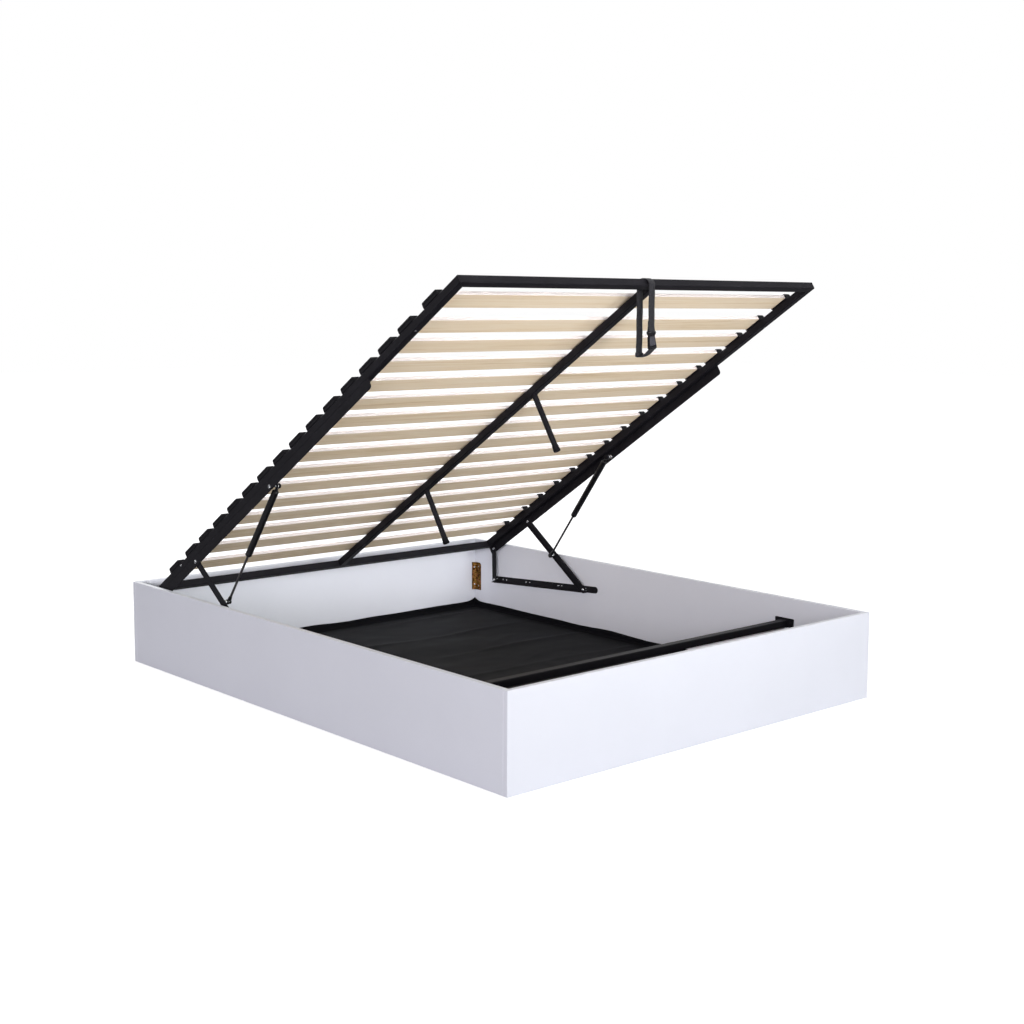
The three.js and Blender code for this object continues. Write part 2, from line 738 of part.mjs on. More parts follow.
// Gas struts: the rod's ball is at y = 0, the cylinder's at the strut's length
function makeStruts(bed) {
  const length = linkage.strutLength;
  const top = length - strutEndNeck;
  const bottom = top - cylinderLength;
  const chamfer = cylinderRadius / 5;
  const neckRadius = cylinderRadius / 2;
  const cylinder = turnedAlongStrut([
    [0, top - cylinderEndWall],
    [cylinderBore, top - cylinderEndWall],
    [cylinderBore, bottom + cylinderEndWall],
    [glandRadius, bottom + cylinderEndWall],
    [glandRadius, bottom],
    [cylinderRadius - chamfer, bottom],
    [cylinderRadius, bottom + chamfer],
    [cylinderRadius, top - chamfer],
    [neckRadius, top],
    [neckRadius, length - ballRadius],
    [0, length - ballRadius],
  ]);
  const [upperCup, upperHollow] = ballSocket(length);
  const piston = bottom + pistonFromGland;
  const rod = turnedAlongStrut([
    [0, ballRadius],
    [rodRadius, ballRadius],
    [rodRadius, piston],
    [pistonRadius, piston],
    [pistonRadius, piston + pistonLength],
    [0, piston + pistonLength],
  ]);
  const [lowerCup, lowerHollow] = ballSocket(0);
  const pieces = [
    ['strut_cylinder', cut(fuse(cylinder, upperCup), upperHollow), 'blackSteel'],
    ['strut_rod', cut(fuse(rod, lowerCup), lowerHollow), 'zincSteel'],
    ['lower_ball_stud', lowerStud(), 'zincSteel'],
  ];
  const group = groupAlong(linkage.strutFoot, linkage.strutAngle);
  for (const [name, geometry, finish] of pieces) {
    addPiece(group, `${name}_right`, geometry, finish);
    addPiece(group, `${name}_left`, mirrored(geometry, -1), finish);
  }
  bed.add(group);
}

// The webbing's middle line in Y and Z about the foot tube's centre: up the front run,
// over the tube, down the back run, round the fold and across to the buckle again
function strapLine() {
  const eye = (frameTube / 2) * Math.SQRT2 + strapEyeGap + strapThickness / 2;
  const line = [new THREE.Vector2(-eye, -buckleTop - buckleSlotDepth + seatGap)];
  const overTube = new THREE.EllipseCurve(0, 0, eye, eye, Math.PI, 0, true);
  line.push(...overTube.getPoints(2 * arcSteps));
  const foldMiddle = -strapDrop + strapFoldRadius + strapThickness / 2;
  const fold = new THREE.EllipseCurve(
    eye - strapFoldRadius, foldMiddle, strapFoldRadius, strapFoldRadius, 0, -0.65 * Math.PI, true,
  );
  line.push(...fold.getPoints(arcSteps));
  line.push(new THREE.Vector2(-eye, -buckleBottom - strapThickness));
  line.push(new THREE.Vector2(-eye, -buckleBottom + buckleSlotDepth - seatGap));
  return line;
}

// The outline of a ribbon of the given thickness along an open line
function ribbonOutline(line, thickness) {
  const sides = [[], []];
  line.forEach((point, i) => {
    const before = line[Math.max(i - 1, 0)];
    const after = line[Math.min(i + 1, line.length - 1)];
    const into = point.clone().sub(before).normalize();
    const outOf = after.clone().sub(point).normalize();
    const along = into.clone().add(outOf).normalize();
    const half = thickness / 2 / Math.max(along.dot(i === 0 ? outOf : into), 0.5);
    const across = new THREE.Vector2(-along.y, along.x);
    sides[0].push(point.clone().addScaledVector(across, half));
    sides[1].unshift(point.clone().addScaledVector(across, -half));
  });
  return new THREE.Shape([...sides[0], ...sides[1]]);
}

function makeStrap(bed) {
  const footTubeMiddle = platformPoint(platformLength - frameTube / 2, frameTube / 2, openTilt, linkage.head);
  const group = groupAlong(footTubeMiddle, 0);
  const line = strapLine();
  const frontY = line[0].x;
  const strapX = (offset) => strapOffCentre + offset;
  const strap = plateAcrossX(ribbonOutline(line, strapThickness), strapX(-strapWidth / 2), strapX(strapWidth / 2));
  const slot = block(
    strapX(-strapWidth / 2 - seatGap), strapX(strapWidth / 2 + seatGap),
    frontY - strapThickness / 2 - seatGap, frontY + strapThickness / 2 + seatGap,
    -buckleSlotDepth, buckleSlotDepth,
  );
  const mouth = -buckleBottom + buckleSplit;
  const across = (wide, thick, z0, z1) => block(
    strapX(-wide / 2), strapX(wide / 2), frontY - thick / 2, frontY + thick / 2, z0, z1,
  );
  const roomWidth = buckleWidth - 2 * buckleWall;
  const roomThickness = buckleThickness - 2 * buckleWall;
  const roomFloor = mouth - prongLength - seatGap;
  const body = cut(
    across(buckleWidth, buckleThickness, -buckleBottom, mouth),
    across(roomWidth, roomThickness, roomFloor, mouth + 1),
    slot.clone().translate(0, 0, -buckleBottom),
  );
  const crown = across(buckleWidth, tongueThickness, mouth + seatGap, -buckleTop);
  const prong = (middle) => block(
    strapX(middle - prongWidth / 2), strapX(middle + prongWidth / 2),
    frontY - tongueThickness / 2, frontY + tongueThickness / 2,
    mouth - prongLength, mouth + 1,
  );
  const prongMiddle = roomWidth / 2 - seatGap - prongWidth / 2;
  const tongue = cut(
    fuse(crown, prong(-prongMiddle), prong(0), prong(prongMiddle)),
    slot.clone().translate(0, 0, -buckleTop),
  );
  addPiece(group, 'pull_strap', strap, 'webbing');
  addPiece(group, 'buckle_body', body, 'blackPlastic');
  addPiece(group, 'buckle_tongue', tongue, 'blackPlastic');
  bed.add(group);
}

function makePlatform(bed) {
  const platform = groupAlong(linkage.head, -openTilt);
  makeSideTubes(platform);
  makeEndTubes(platform);
  makeCentreRail(platform);
  makeLiftArms(platform);
  makeCentreLegs(platform);
  makeSlats(platform);
  makeUpperStuds(platform);
  bed.add(platform);
}

const bed = new THREE.Group();
makeBoards(bed);
makeCornerPlates(bed);
makeCrossBar(bed);
makeLiner(bed);
makeHingeBases(bed);
makeBasePins(bed);
makePlatform(bed);
makeFrontLinks(bed);
makeRearLinks(bed);
makeStruts(bed);
makeStrap(bed);

export default bed;
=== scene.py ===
import json
import math

import bmesh
import bpy
from mathutils import Matrix, Vector, noise


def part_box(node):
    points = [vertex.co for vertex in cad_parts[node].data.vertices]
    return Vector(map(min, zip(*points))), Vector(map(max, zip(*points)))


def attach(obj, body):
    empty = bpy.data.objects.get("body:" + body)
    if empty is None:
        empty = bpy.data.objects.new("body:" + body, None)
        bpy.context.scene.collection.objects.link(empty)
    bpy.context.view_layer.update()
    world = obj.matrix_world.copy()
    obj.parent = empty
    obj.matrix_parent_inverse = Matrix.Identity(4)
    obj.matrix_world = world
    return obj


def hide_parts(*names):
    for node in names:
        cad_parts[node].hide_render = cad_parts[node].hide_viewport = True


# Storage bed with its slat platform raised. Pieces are shaped in millimetres in the place where
# they are easiest to read, and put in the bed in metres.
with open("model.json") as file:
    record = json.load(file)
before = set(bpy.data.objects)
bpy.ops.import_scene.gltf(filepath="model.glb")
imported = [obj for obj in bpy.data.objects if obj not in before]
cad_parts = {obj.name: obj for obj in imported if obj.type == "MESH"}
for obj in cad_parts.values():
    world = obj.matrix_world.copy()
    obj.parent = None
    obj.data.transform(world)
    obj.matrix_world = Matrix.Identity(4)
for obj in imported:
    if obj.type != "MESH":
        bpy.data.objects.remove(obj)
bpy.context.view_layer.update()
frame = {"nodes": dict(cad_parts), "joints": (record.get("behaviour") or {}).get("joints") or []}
toMetres = Matrix.Scale(0.001, 4)
jointAt = {joint["name"]: Vector(joint["pos_m"]) for joint in frame["joints"] if "pos_m" in joint}

camera = {
    "azimuth": -43.842,                    # degrees round the bed, 0 looks along +Y
    "elevation": 7.278,
    "roll": 0.648,
    "place": (-3.3703, -4.0712, 1.3212),
    "focalPixels": 1559.13,
    "imageSide": 1024,
    "principalPoint": (602.2, 494.2),      # pixels from the picture's top left corner
    "sensor": 36.0,
}


def makeCamera():
    azimuth, elevation, roll = (math.radians(camera[key]) for key in ("azimuth", "elevation", "roll"))
    back = Vector((
        math.sin(azimuth) * math.cos(elevation),
        -math.cos(azimuth) * math.cos(elevation),
        math.sin(elevation),
    ))
    level = Vector((math.cos(azimuth), math.sin(azimuth), 0))
    upright = back.cross(level)
    right = level * math.cos(roll) + upright * math.sin(roll)
    up = upright * math.cos(roll) - level * math.sin(roll)
    turn = Matrix((right, up, back)).transposed()
    data = bpy.data.cameras.new("camera")
    side = camera["imageSide"]
    data.sensor_width = camera["sensor"]
    data.lens = camera["focalPixels"] * camera["sensor"] / side
    data.shift_x = (side / 2 - camera["principalPoint"][0]) / side
    data.shift_y = (camera["principalPoint"][1] - side / 2) / side
    eye = bpy.data.objects.new("camera", data)
    eye.matrix_world = Matrix.Translation(camera["place"]) @ turn.to_4x4()
    bpy.context.scene.collection.objects.link(eye)
    bpy.context.scene.camera = eye


makeCamera()
print("camera placed")


# Materials

def linear(hexColour):
    channels = [int(hexColour[i:i + 2], 16) / 255 for i in (1, 3, 5)]
    return (*((c / 12.92 if c <= 0.04045 else ((c + 0.055) / 1.055) ** 2.4) for c in channels), 1)


def perMillimetre(size):
    # Scale of a pattern on coordinates in metres whose features are size millimetres wide
    return 1000 / size


# Adds a node, sets its properties and inputs, links its inputs to other nodes' outputs, and links its own
# first output to where it goes
def addNode(tree, kind, settings=None, inputs=None, links=None, to=None):
    node = tree.nodes.new(kind)
    for name, value in (settings or {}).items():
        setattr(node, name, value)
    for name, value in (inputs or {}).items():
        node.inputs[name].default_value = value
    for name, output in (links or {}).items():
        tree.links.new(output, node.inputs[name])
    if to:
        tree.links.new(node.outputs[0], to)
    return node


def setRamp(node, stops):
    ramp = node.color_ramp
    while len(ramp.elements) > 1:
        ramp.elements.remove(ramp.elements[-1])
    for i, (place, colour) in enumerate(stops):
        stop = ramp.elements[0] if i == 0 else ramp.elements.new(place)
        stop.position = place
        stop.color = linear(colour)


def newMaterial(name, surface):
    material = bpy.data.materials.new(name)
    material.use_nodes = True
    tree = material.node_tree
    shader = tree.nodes["Principled BSDF"]
    for socket, value in surface.items():
        shader.inputs[socket].default_value = value
    return material, tree, shader


def objectPlace(tree, stretch=(1, 1, 1)):
    coordinate = addNode(tree, "ShaderNodeTexCoord")
    links = {"Vector": coordinate.outputs["Object"]}
    mapping = addNode(tree, "ShaderNodeMapping", None, {"Scale": stretch}, links)
    return mapping.outputs["Vector"]


# Coats and skins: the colour drifts with a cloud, and so does the roughness where "gloss" gives its range.
# The grain, or the cloud where there is none, stands up by the depth, in metres. Other sizes are millimetres.

# Satin white lacquer on board: even, faintly clouded, with the soft ripple of a rolled coat
whiteLacquer = {
    "name": "satin white lacquer", "surface": {"Roughness": 0.42, "IOR": 1.5}, "gloss": (0.37, 0.47),
    "cloud": 260, "noise": {"Detail": 3.0}, "tints": [(0.35, "#e5e7ef"), (0.65, "#e7e9f1")],
    "grain": 3.5, "depth": 0.00005,
}

# Black powder coat on steel: fine orange peel, a little dusty where handled
blackCoat = {
    "name": "black powder coat", "surface": {"Roughness": 0.44, "IOR": 1.5, "Specular IOR Level": 0.07},
    "gloss": (0.38, 0.52), "cloud": 90, "noise": {"Detail": 4.0, "Roughness": 0.6},
    "tints": [(0.4, "#19181c"), (0.72, "#1f1e22")], "grain": 1.6, "depth": 0.00012,
}

# Bright zinc plating on rivets, screws and studs: silvery, a touch clouded
brightZinc = {
    "name": "bright zinc plate", "surface": {"Roughness": 0.26, "Metallic": 1.0},
    "cloud": 5, "noise": {"Detail": 3.0}, "tints": [(0.35, "#9fa1a5"), (0.6, "#cccdd0")],
    "grain": 0.9, "depth": 0.00003,
}

# Yellow passivated zinc on the corner plates: bronze and gold with a rosy bloom
yellowZinc = {
    "name": "yellow zinc plate", "surface": {"Roughness": 0.36, "Metallic": 1.0},
    "cloud": 8, "noise": {"Detail": 3.0, "Distortion": 0.8},
    "tints": [(0.42, "#4b2d14"), (0.54, "#85672d"), (0.66, "#a0604a")], "depth": 0.00004,
}

# Black moulded polypropylene: low sheen with a spark-eroded grain, coarser than the real one so that it shows
mouldedPlastic = {
    "name": "black moulded polypropylene",
    "surface": {"Roughness": 0.42, "IOR": 1.49, "Specular IOR Level": 0.09},
    "cloud": 40, "noise": {"Detail": 3.0}, "tints": [(0.4, "#121115"), (0.7, "#18171b")],
    "grain": 0.9, "depth": 0.00008,
}

# Moulded acetal on the buckle's raised face: smoother than the body, and a lighter grey that is a painted
# highlight, the light the face catches
buckleHighlightAcetal = {
    "name": "grey-black moulded acetal",
    "surface": {"Roughness": 0.34, "IOR": 1.49, "Specular IOR Level": 0.4},
    "cloud": 18, "noise": {"Detail": 3.0}, "tints": [(0.4, "#2b2a32"), (0.7, "#38363f")],
    "grain": 0.6, "depth": 0.00008,
}

# Black stoving paint on the strut cylinders: smoother and glossier than the powder coat
strutPaint = {
    "name": "black stoving paint", "surface": {"Roughness": 0.3, "IOR": 1.52, "Specular IOR Level": 0.3},
    "cloud": 30, "noise": {"Detail": 2.0}, "tints": [(0.4, "#0d0d10"), (0.7, "#141417")], "depth": 0.00005,
}

# Ground and nitrided steel on the piston rods: dark and bright at once, with marks along its length that are
# 0.8 mm wide and 60 mm long. The real ones are finer and wouldn't show.
nitridedRod = {
    "name": "nitrided steel rod", "surface": {"Roughness": 0.3, "Metallic": 1.0},
    "cloud": 0.8, "stretch": (1, 0.8 / 60, 0.8 / 60), "noise": {"Detail": 2.0},
    "tints": [(0.35, "#525053"), (0.62, "#6b686a")], "depth": 0.00001,
}


def makeCoat(look):
    material, tree, shader = newMaterial(look["name"], look["surface"])
    place = objectPlace(tree, look.get("stretch", (1, 1, 1)))
    cloud = addNode(
        tree, "ShaderNodeTexNoise", None, {"Scale": perMillimetre(look["cloud"]), **look["noise"]},
        {"Vector": place},
    )
    tint = addNode(
        tree, "ShaderNodeValToRGB", None, None, {"Fac": cloud.outputs["Fac"]}, shader.inputs["Base Color"],
    )
    setRamp(tint, look["tints"])
    if "gloss" in look:
        addNode(
            tree, "ShaderNodeMapRange", None, {"To Min": look["gloss"][0], "To Max": look["gloss"][1]},
            {"Value": cloud.outputs["Fac"]}, shader.inputs["Roughness"],
        )
    relief = cloud
    if "grain" in look:
        relief = addNode(
            tree, "ShaderNodeTexNoise", None, {"Scale": perMillimetre(look["grain"]), "Detail": 2.0},
            {"Vector": place},
        )
    addNode(
        tree, "ShaderNodeBump", None, {"Strength": 1.0, "Distance": look["depth"]},
        {"Height": relief.outputs["Fac"]}, shader.inputs["Normal"],
    )
    return material


birchVeneer = {
    "pale": "#fbe9ce", "warm": "#f6e0bf", "line": "#e4caa4",
    "edgePale": "#e9dfdb", "edgeDark": "#d8cbc5", "roughness": 0.5,
    "grainWidth": 2.2, "grainLength": 120, "streakWidth": 14, "streakLength": 700,
    "plies": 5.0, "grainDepth": 0.00008,
}


# Laminated birch, sanded and sealed: long fine grain on the faces, stacked plies on the edges
def makeBirch():
    look = birchVeneer
    material, tree, shader = newMaterial("laminated birch", {"Roughness": look["roughness"], "IOR": 1.5})
    fineGrain = addNode(
        tree, "ShaderNodeTexNoise", None,
        {"Scale": perMillimetre(look["grainWidth"]), "Detail": 5.0, "Roughness": 0.65, "Distortion": 0.3},
        {"Vector": objectPlace(tree, (look["grainWidth"] / look["grainLength"], 1, 1))},
    )
    streak = addNode(
        tree, "ShaderNodeTexNoise", None,
        {"Scale": perMillimetre(look["streakWidth"]), "Detail": 3.0, "Distortion": 0.6},
        {"Vector": objectPlace(tree, (look["streakWidth"] / look["streakLength"], 1, 1))},
    )
    mixed = addNode(
        tree, "ShaderNodeMath", {"operation": "ADD"}, None,
        {0: fineGrain.outputs["Fac"], 1: streak.outputs["Fac"]},
    )
    half = addNode(tree, "ShaderNodeMath", {"operation": "MULTIPLY"}, {1: 0.5}, {0: mixed.outputs[0]})
    face = addNode(tree, "ShaderNodeValToRGB", None, None, {"Fac": half.outputs[0]})
    setRamp(face, [(0.36, look["line"]), (0.46, look["warm"]), (0.6, look["pale"])])
    through = addNode(tree, "ShaderNodeAttribute", {"attribute_name": "through"})
    plies = addNode(
        tree, "ShaderNodeMath", {"operation": "MULTIPLY"}, {1: look["plies"]}, {0: through.outputs["Fac"]},
    )
    inPly = addNode(tree, "ShaderNodeMath", {"operation": "FRACT"}, None, {0: plies.outputs[0]})
    edge = addNode(tree, "ShaderNodeValToRGB", None, None, {"Fac": inPly.outputs[0]})
    dark, pale = look["edgeDark"], look["edgePale"]
    setRamp(edge, [(0.0, dark), (0.16, pale), (0.9, pale), (1.0, dark)])
    edgeShare = addNode(tree, "ShaderNodeAttribute", {"attribute_name": "edge"})
    colour = addNode(
        tree, "ShaderNodeMix", {"data_type": "RGBA"}, None,
        {0: edgeShare.outputs["Fac"], 6: face.outputs["Color"], 7: edge.outputs["Color"]},
    )
    tree.links.new(colour.outputs[2], shader.inputs["Base Color"])
    addNode(
        tree, "ShaderNodeBump", None, {"Strength": 1.0, "Distance": look["grainDepth"]},
        {"Height": fineGrain.outputs["Fac"]}, shader.inputs["Normal"],
    )
    return material


linerCloth = {
    "colour": "#09090c", "worn": "#0f0f13", "roughness": 0.62, "sheen": 0.008, "specular": 0.06,
    "emboss": 3.2, "embossDepth": 0.0002, "cloud": 240, "fibre": 1.1, "fibreDepth": 0.0001,
}


# Black spunbond fabric: matt, with loose fibres and the pressed dots of its bonding, which are drawn wider
# apart than the real ones so that they show
def makeLinerCloth():
    look = linerCloth
    material, tree, shader = newMaterial("black spunbond fabric", {
        "Roughness": look["roughness"], "Sheen Weight": look["sheen"], "Sheen Roughness": 0.5, "IOR": 1.45,
        "Specular IOR Level": look["specular"],
    })
    place = objectPlace(tree)
    cloud = addNode(
        tree, "ShaderNodeTexNoise", None,
        {"Scale": perMillimetre(look["cloud"]), "Detail": 4.0}, {"Vector": place},
    )
    tint = addNode(
        tree, "ShaderNodeValToRGB", None, None, {"Fac": cloud.outputs["Fac"]}, shader.inputs["Base Color"],
    )
    setRamp(tint, [(0.35, look["colour"]), (0.7, look["worn"])])
    dots = addNode(
        tree, "ShaderNodeTexVoronoi", {"feature": "F1"},
        {"Scale": perMillimetre(look["emboss"]), "Randomness": 0.15}, {"Vector": place},
    )
    pressed = addNode(
        tree, "ShaderNodeBump", None, {"Strength": 1.0, "Distance": look["embossDepth"]},
        {"Height": dots.outputs["Distance"]},
    )
    fibres = addNode(
        tree, "ShaderNodeTexNoise", None,
        {"Scale": perMillimetre(look["fibre"]), "Detail": 3.0}, {"Vector": place},
    )
    addNode(
        tree, "ShaderNodeBump", None, {"Strength": 1.0, "Distance": look["fibreDepth"]},
        {"Height": fibres.outputs["Fac"], "Normal": pressed.outputs["Normal"]}, shader.inputs["Normal"],
    )
    return material


# The gap colour is painted shade in the hollows between the threads
charcoalWebbing = {
    "thread": "#252429", "gap": "#101013", "roughness": 0.7, "sheen": 0.05, "specular": 0.25,
    "ribPitch": 1.5, "threadPitch": 2.2, "depth": 0.0004,
}


# Woven polyester webbing: cross ribs, with the warp threads running along it, and painted shade darkening the
# hollows between the threads. Its UV map is in metres.
def makeWebbing():
    look = charcoalWebbing
    material, tree, shader = newMaterial("charcoal woven webbing", {
        "Roughness": look["roughness"], "Sheen Weight": look["sheen"], "IOR": 1.5,
        "Specular IOR Level": look["specular"],
    })
    uv = addNode(tree, "ShaderNodeUVMap", {"uv_map": "weave"})
    axes = addNode(tree, "ShaderNodeSeparateXYZ", None, None, {"Vector": uv.outputs["UV"]})
    waves = []
    for axis, pitch in (("X", look["threadPitch"]), ("Y", look["ribPitch"])):
        turns = addNode(
            tree, "ShaderNodeMath", {"operation": "MULTIPLY"}, {1: 2 * math.pi * perMillimetre(pitch)},
            {0: axes.outputs[axis]},
        )
        waves.append(addNode(tree, "ShaderNodeMath", {"operation": "SINE"}, None, {0: turns.outputs[0]}))
    weave = addNode(
        tree, "ShaderNodeMath", {"operation": "MULTIPLY"}, None,
        {0: waves[0].outputs[0], 1: waves[1].outputs[0]},
    )
    height = addNode(
        tree, "ShaderNodeMapRange", None, {"From Min": -1.0, "From Max": 1.0}, {"Value": weave.outputs[0]},
    )
    links = {"Fac": height.outputs["Result"]}
    tint = addNode(tree, "ShaderNodeValToRGB", None, None, links, shader.inputs["Base Color"])
    # Low places in the weave take the darker gap colour: painted shade between the threads
    setRamp(tint, [(0.1, look["gap"]), (0.6, look["thread"])])
    addNode(
        tree, "ShaderNodeBump", None, {"Strength": 1.0, "Distance": look["depth"]},
        {"Height": height.outputs["Result"]}, shader.inputs["Normal"],
    )
    return material


finishes = {
    "white_board": makeCoat(whiteLacquer),
    "black_steel": makeCoat(blackCoat),
    "zinc_steel": makeCoat(brightZinc),
    "yellow_zinc": makeCoat(yellowZinc),
    "birch": makeBirch(),
    "strut_black": makeCoat(strutPaint),
    "strut_rod": makeCoat(nitridedRod),
    "liner_fabric": makeLinerCloth(),
    "webbing": makeWebbing(),
    "black_plastic": makeCoat(mouldedPlastic),
}
# The buckle's face gets a lighter grey: a painted highlight
buckleHighlightFinish = makeCoat(buckleHighlightAcetal)
print("materials made")


# Outlines: lists of points from arcs and corners

def arcPoints(u, v, radius, start, end, steps):
    turns = [math.radians(start + (end - start) * i / steps) for i in range(steps + 1)]
    return [(u + radius * math.cos(t), v + radius * math.sin(t)) for t in turns]


def circlePoints(u, v, radius, steps=24):
    return arcPoints(u, v, radius, 0, 360, steps)[:-1]


def roundedRectangle(u0, u1, v0, v1, radius, steps=4):
    return [
        *arcPoints(u1 - radius, v1 - radius, radius, 0, 90, steps),
        *arcPoints(u0 + radius, v1 - radius, radius, 90, 180, steps),
        *arcPoints(u0 + radius, v0 + radius, radius, 180, 270, steps),
        *arcPoints(u1 - radius, v0 + radius, radius, 270, 360, steps),
    ]


# Shapes in a bmesh

acrossX = Matrix(((0, 0, 1, 0), (1, 0, 0, 0), (0, 1, 0, 0), (0, 0, 0, 1)))   # outline in Y and Z
acrossY = Matrix(((1, 0, 0, 0), (0, 0, 1, 0), (0, 1, 0, 0), (0, 0, 0, 1)))   # outline in X and Z
acrossZ = Matrix.Identity(4)                                                 # outline in X and Y


def sharpEdges(bm, angle=30):
    return [e for e in bm.edges if len(e.link_faces) == 2 and e.calc_face_angle(0) > math.radians(angle)]


def soften(bm, radius, segments=2):
    bmesh.ops.bevel(
        bm, geom=sharpEdges(bm), offset=radius, offset_type="OFFSET", segments=segments, profile=0.5,
        affect="EDGES", material=-1, clamp_overlap=True,
    )
    return bm


def plate(loops, start, end, axes=acrossX, edge=0.0, segments=2):
    # loops holds the outline and then any holes; start and end are where the plate lies along its thickness
    bm = bmesh.new()
    rims = []
    for loop in loops:
        corners = [bm.verts.new((u, v, 0)) for u, v in loop]
        rims += [bm.edges.new((a, b)) for a, b in zip(corners, corners[1:] + corners[:1])]
    bmesh.ops.triangle_fill(bm, edges=rims, use_beauty=True, use_dissolve=False)
    grown = bmesh.ops.extrude_face_region(bm, geom=bm.faces[:])
    top = [g for g in grown["geom"] if isinstance(g, bmesh.types.BMVert)]
    bmesh.ops.translate(bm, verts=top, vec=(0, 0, end - start))
    bmesh.ops.recalc_face_normals(bm, faces=bm.faces)
    bmesh.ops.dissolve_limit(bm, angle_limit=math.radians(1), verts=bm.verts, edges=bm.edges)
    if edge:
        soften(bm, edge, segments)
    bm.transform(axes @ Matrix.Translation((0, 0, start)))
    bmesh.ops.recalc_face_normals(bm, faces=bm.faces)
    return bm


def block(low, high, edge=0.0, segments=2):
    bm = bmesh.new()
    size = Vector(high) - Vector(low)
    middle = (Vector(high) + Vector(low)) / 2
    bmesh.ops.create_cube(bm, size=1, matrix=Matrix.Translation(middle) @ Matrix.Diagonal((*size, 1)))
    if edge:
        soften(bm, edge, segments)
    return bm


def turned(profile, axis="X", steps=32):
    # profile is pairs of the distance along the axis and the radius there, closed on the axis
    bm = bmesh.new()
    line = [bm.verts.new((along, radius, 0)) for along, radius in profile]
    edges = [bm.edges.new(pair) for pair in zip(line, line[1:])]
    bmesh.ops.spin(
        bm, geom=line + edges, cent=(0, 0, 0), axis=(1, 0, 0), angle=2 * math.pi, steps=steps,
        use_merge=True, use_duplicate=False,
    )
    bmesh.ops.remove_doubles(bm, verts=bm.verts, dist=1e-4)
    bmesh.ops.recalc_face_normals(bm, faces=bm.faces)
    if axis == "Y":
        bm.transform(Matrix.Rotation(math.pi / 2, 4, "Z"))
    elif axis == "Z":
        bm.transform(Matrix.Rotation(-math.pi / 2, 4, "Y"))
    return bm


def merged(first, *others):
    # Several shapes in one bmesh, as they lie
    for other in others:
        mesh = bpy.data.meshes.new("part")
        other.to_mesh(mesh)
        first.from_mesh(mesh)
        bpy.data.meshes.remove(mesh)
        other.free()
    return first


def cutBy(first, *others):
    # Cuts whole solids out of the first
    for other in others:
        pair = []
        for shape in (first, other):
            mesh = bpy.data.meshes.new("part")
            shape.to_mesh(mesh)
            shape.free()
            pair.append(bpy.data.objects.new("part", mesh))
            bpy.context.scene.collection.objects.link(pair[-1])
        step = pair[0].modifiers.new("cut", "BOOLEAN")
        step.operation = "DIFFERENCE"
        step.object = pair[1]
        step.solver = "EXACT"
        bpy.context.view_layer.update()
        result = bpy.data.meshes.new_from_object(pair[0].evaluated_get(bpy.context.evaluated_depsgraph_get()))
        first = bmesh.new()
        first.from_mesh(result)
        bpy.data.meshes.remove(result)
        for thing in pair:
            mesh = thing.data
            bpy.data.objects.remove(thing)
            bpy.data.meshes.remove(mesh)
        bmesh.ops.remove_doubles(first, verts=first.verts, dist=1e-3)
        bmesh.ops.dissolve_limit(first, angle_limit=math.radians(1), verts=first.verts, edges=first.edges)
    return first


def copied(bm, move=None):
    again = bm.copy()
    if move is not None:
        again.transform(move)
    return again


def shifted(bm, x=0.0, y=0.0, z=0.0):
    bm.transform(Matrix.Translation((x, y, z)))
    return bm


def flipped(bm, across=(-1, 1, 1)):
    bmesh.ops.scale(bm, vec=across, verts=bm.verts)
    bmesh.ops.reverse_faces(bm, faces=bm.faces)
    return bm


def camel(name):
    first, *rest = name.split("_")
    return first + "".join(word.capitalize() for word in rest)


solids = {camel(node): node for node in frame["nodes"]}


# Makes the object, in place in its mesh, in metres. It replaces the CAD node of its name, or the one given.
def addPiece(name, bm, place, body, slot, replaces=None, smooth=40, weighted=True, material=None):
    bm.transform(place)
    mesh = bpy.data.meshes.new(name)
    bm.to_mesh(mesh)
    bm.free()
    mesh.materials.append(material or finishes[slot])
    mesh.shade_smooth()
    mesh.set_sharp_from_angle(angle=math.radians(smooth))
    piece = bpy.data.objects.new(name, mesh)
    bpy.context.scene.collection.objects.link(piece)
    if weighted:
        keep = piece.modifiers.new("even shading", "WEIGHTED_NORMAL")
        keep.keep_sharp = True
    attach(piece, body)
    node = replaces or solids.get(name)
    if node:
        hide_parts(node)
    return piece


# Places: the bed's own, the platform's from its head end, and the links' and struts' from their lower pivots

def along(start, end):
    # +Y runs from start to end in the Y-Z plane, and X stays the bed's own
    angle = math.atan2(end.z - start.z, end.y - start.y)
    return Matrix.Translation((0, start.y, start.z)) @ Matrix.Rotation(angle, 4, "X") @ toMetres


def middleOf(node):
    low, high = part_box(node)
    return (low + high) / 2


def cornersOf(node):
    # The low and the high corner of a CAD node's box, in millimetres
    return [corner * 1000 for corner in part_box(node)]


platform = {
    "tilt": 32.8, "width": 1500, "length": 2000, "tube": 25, "recess": 52, "armSheet": 3, "armGap": 0.3,
    "armDepth": 40, "frontArm": 283, "strutArm": 851, "strutArmDepth": 45,
}

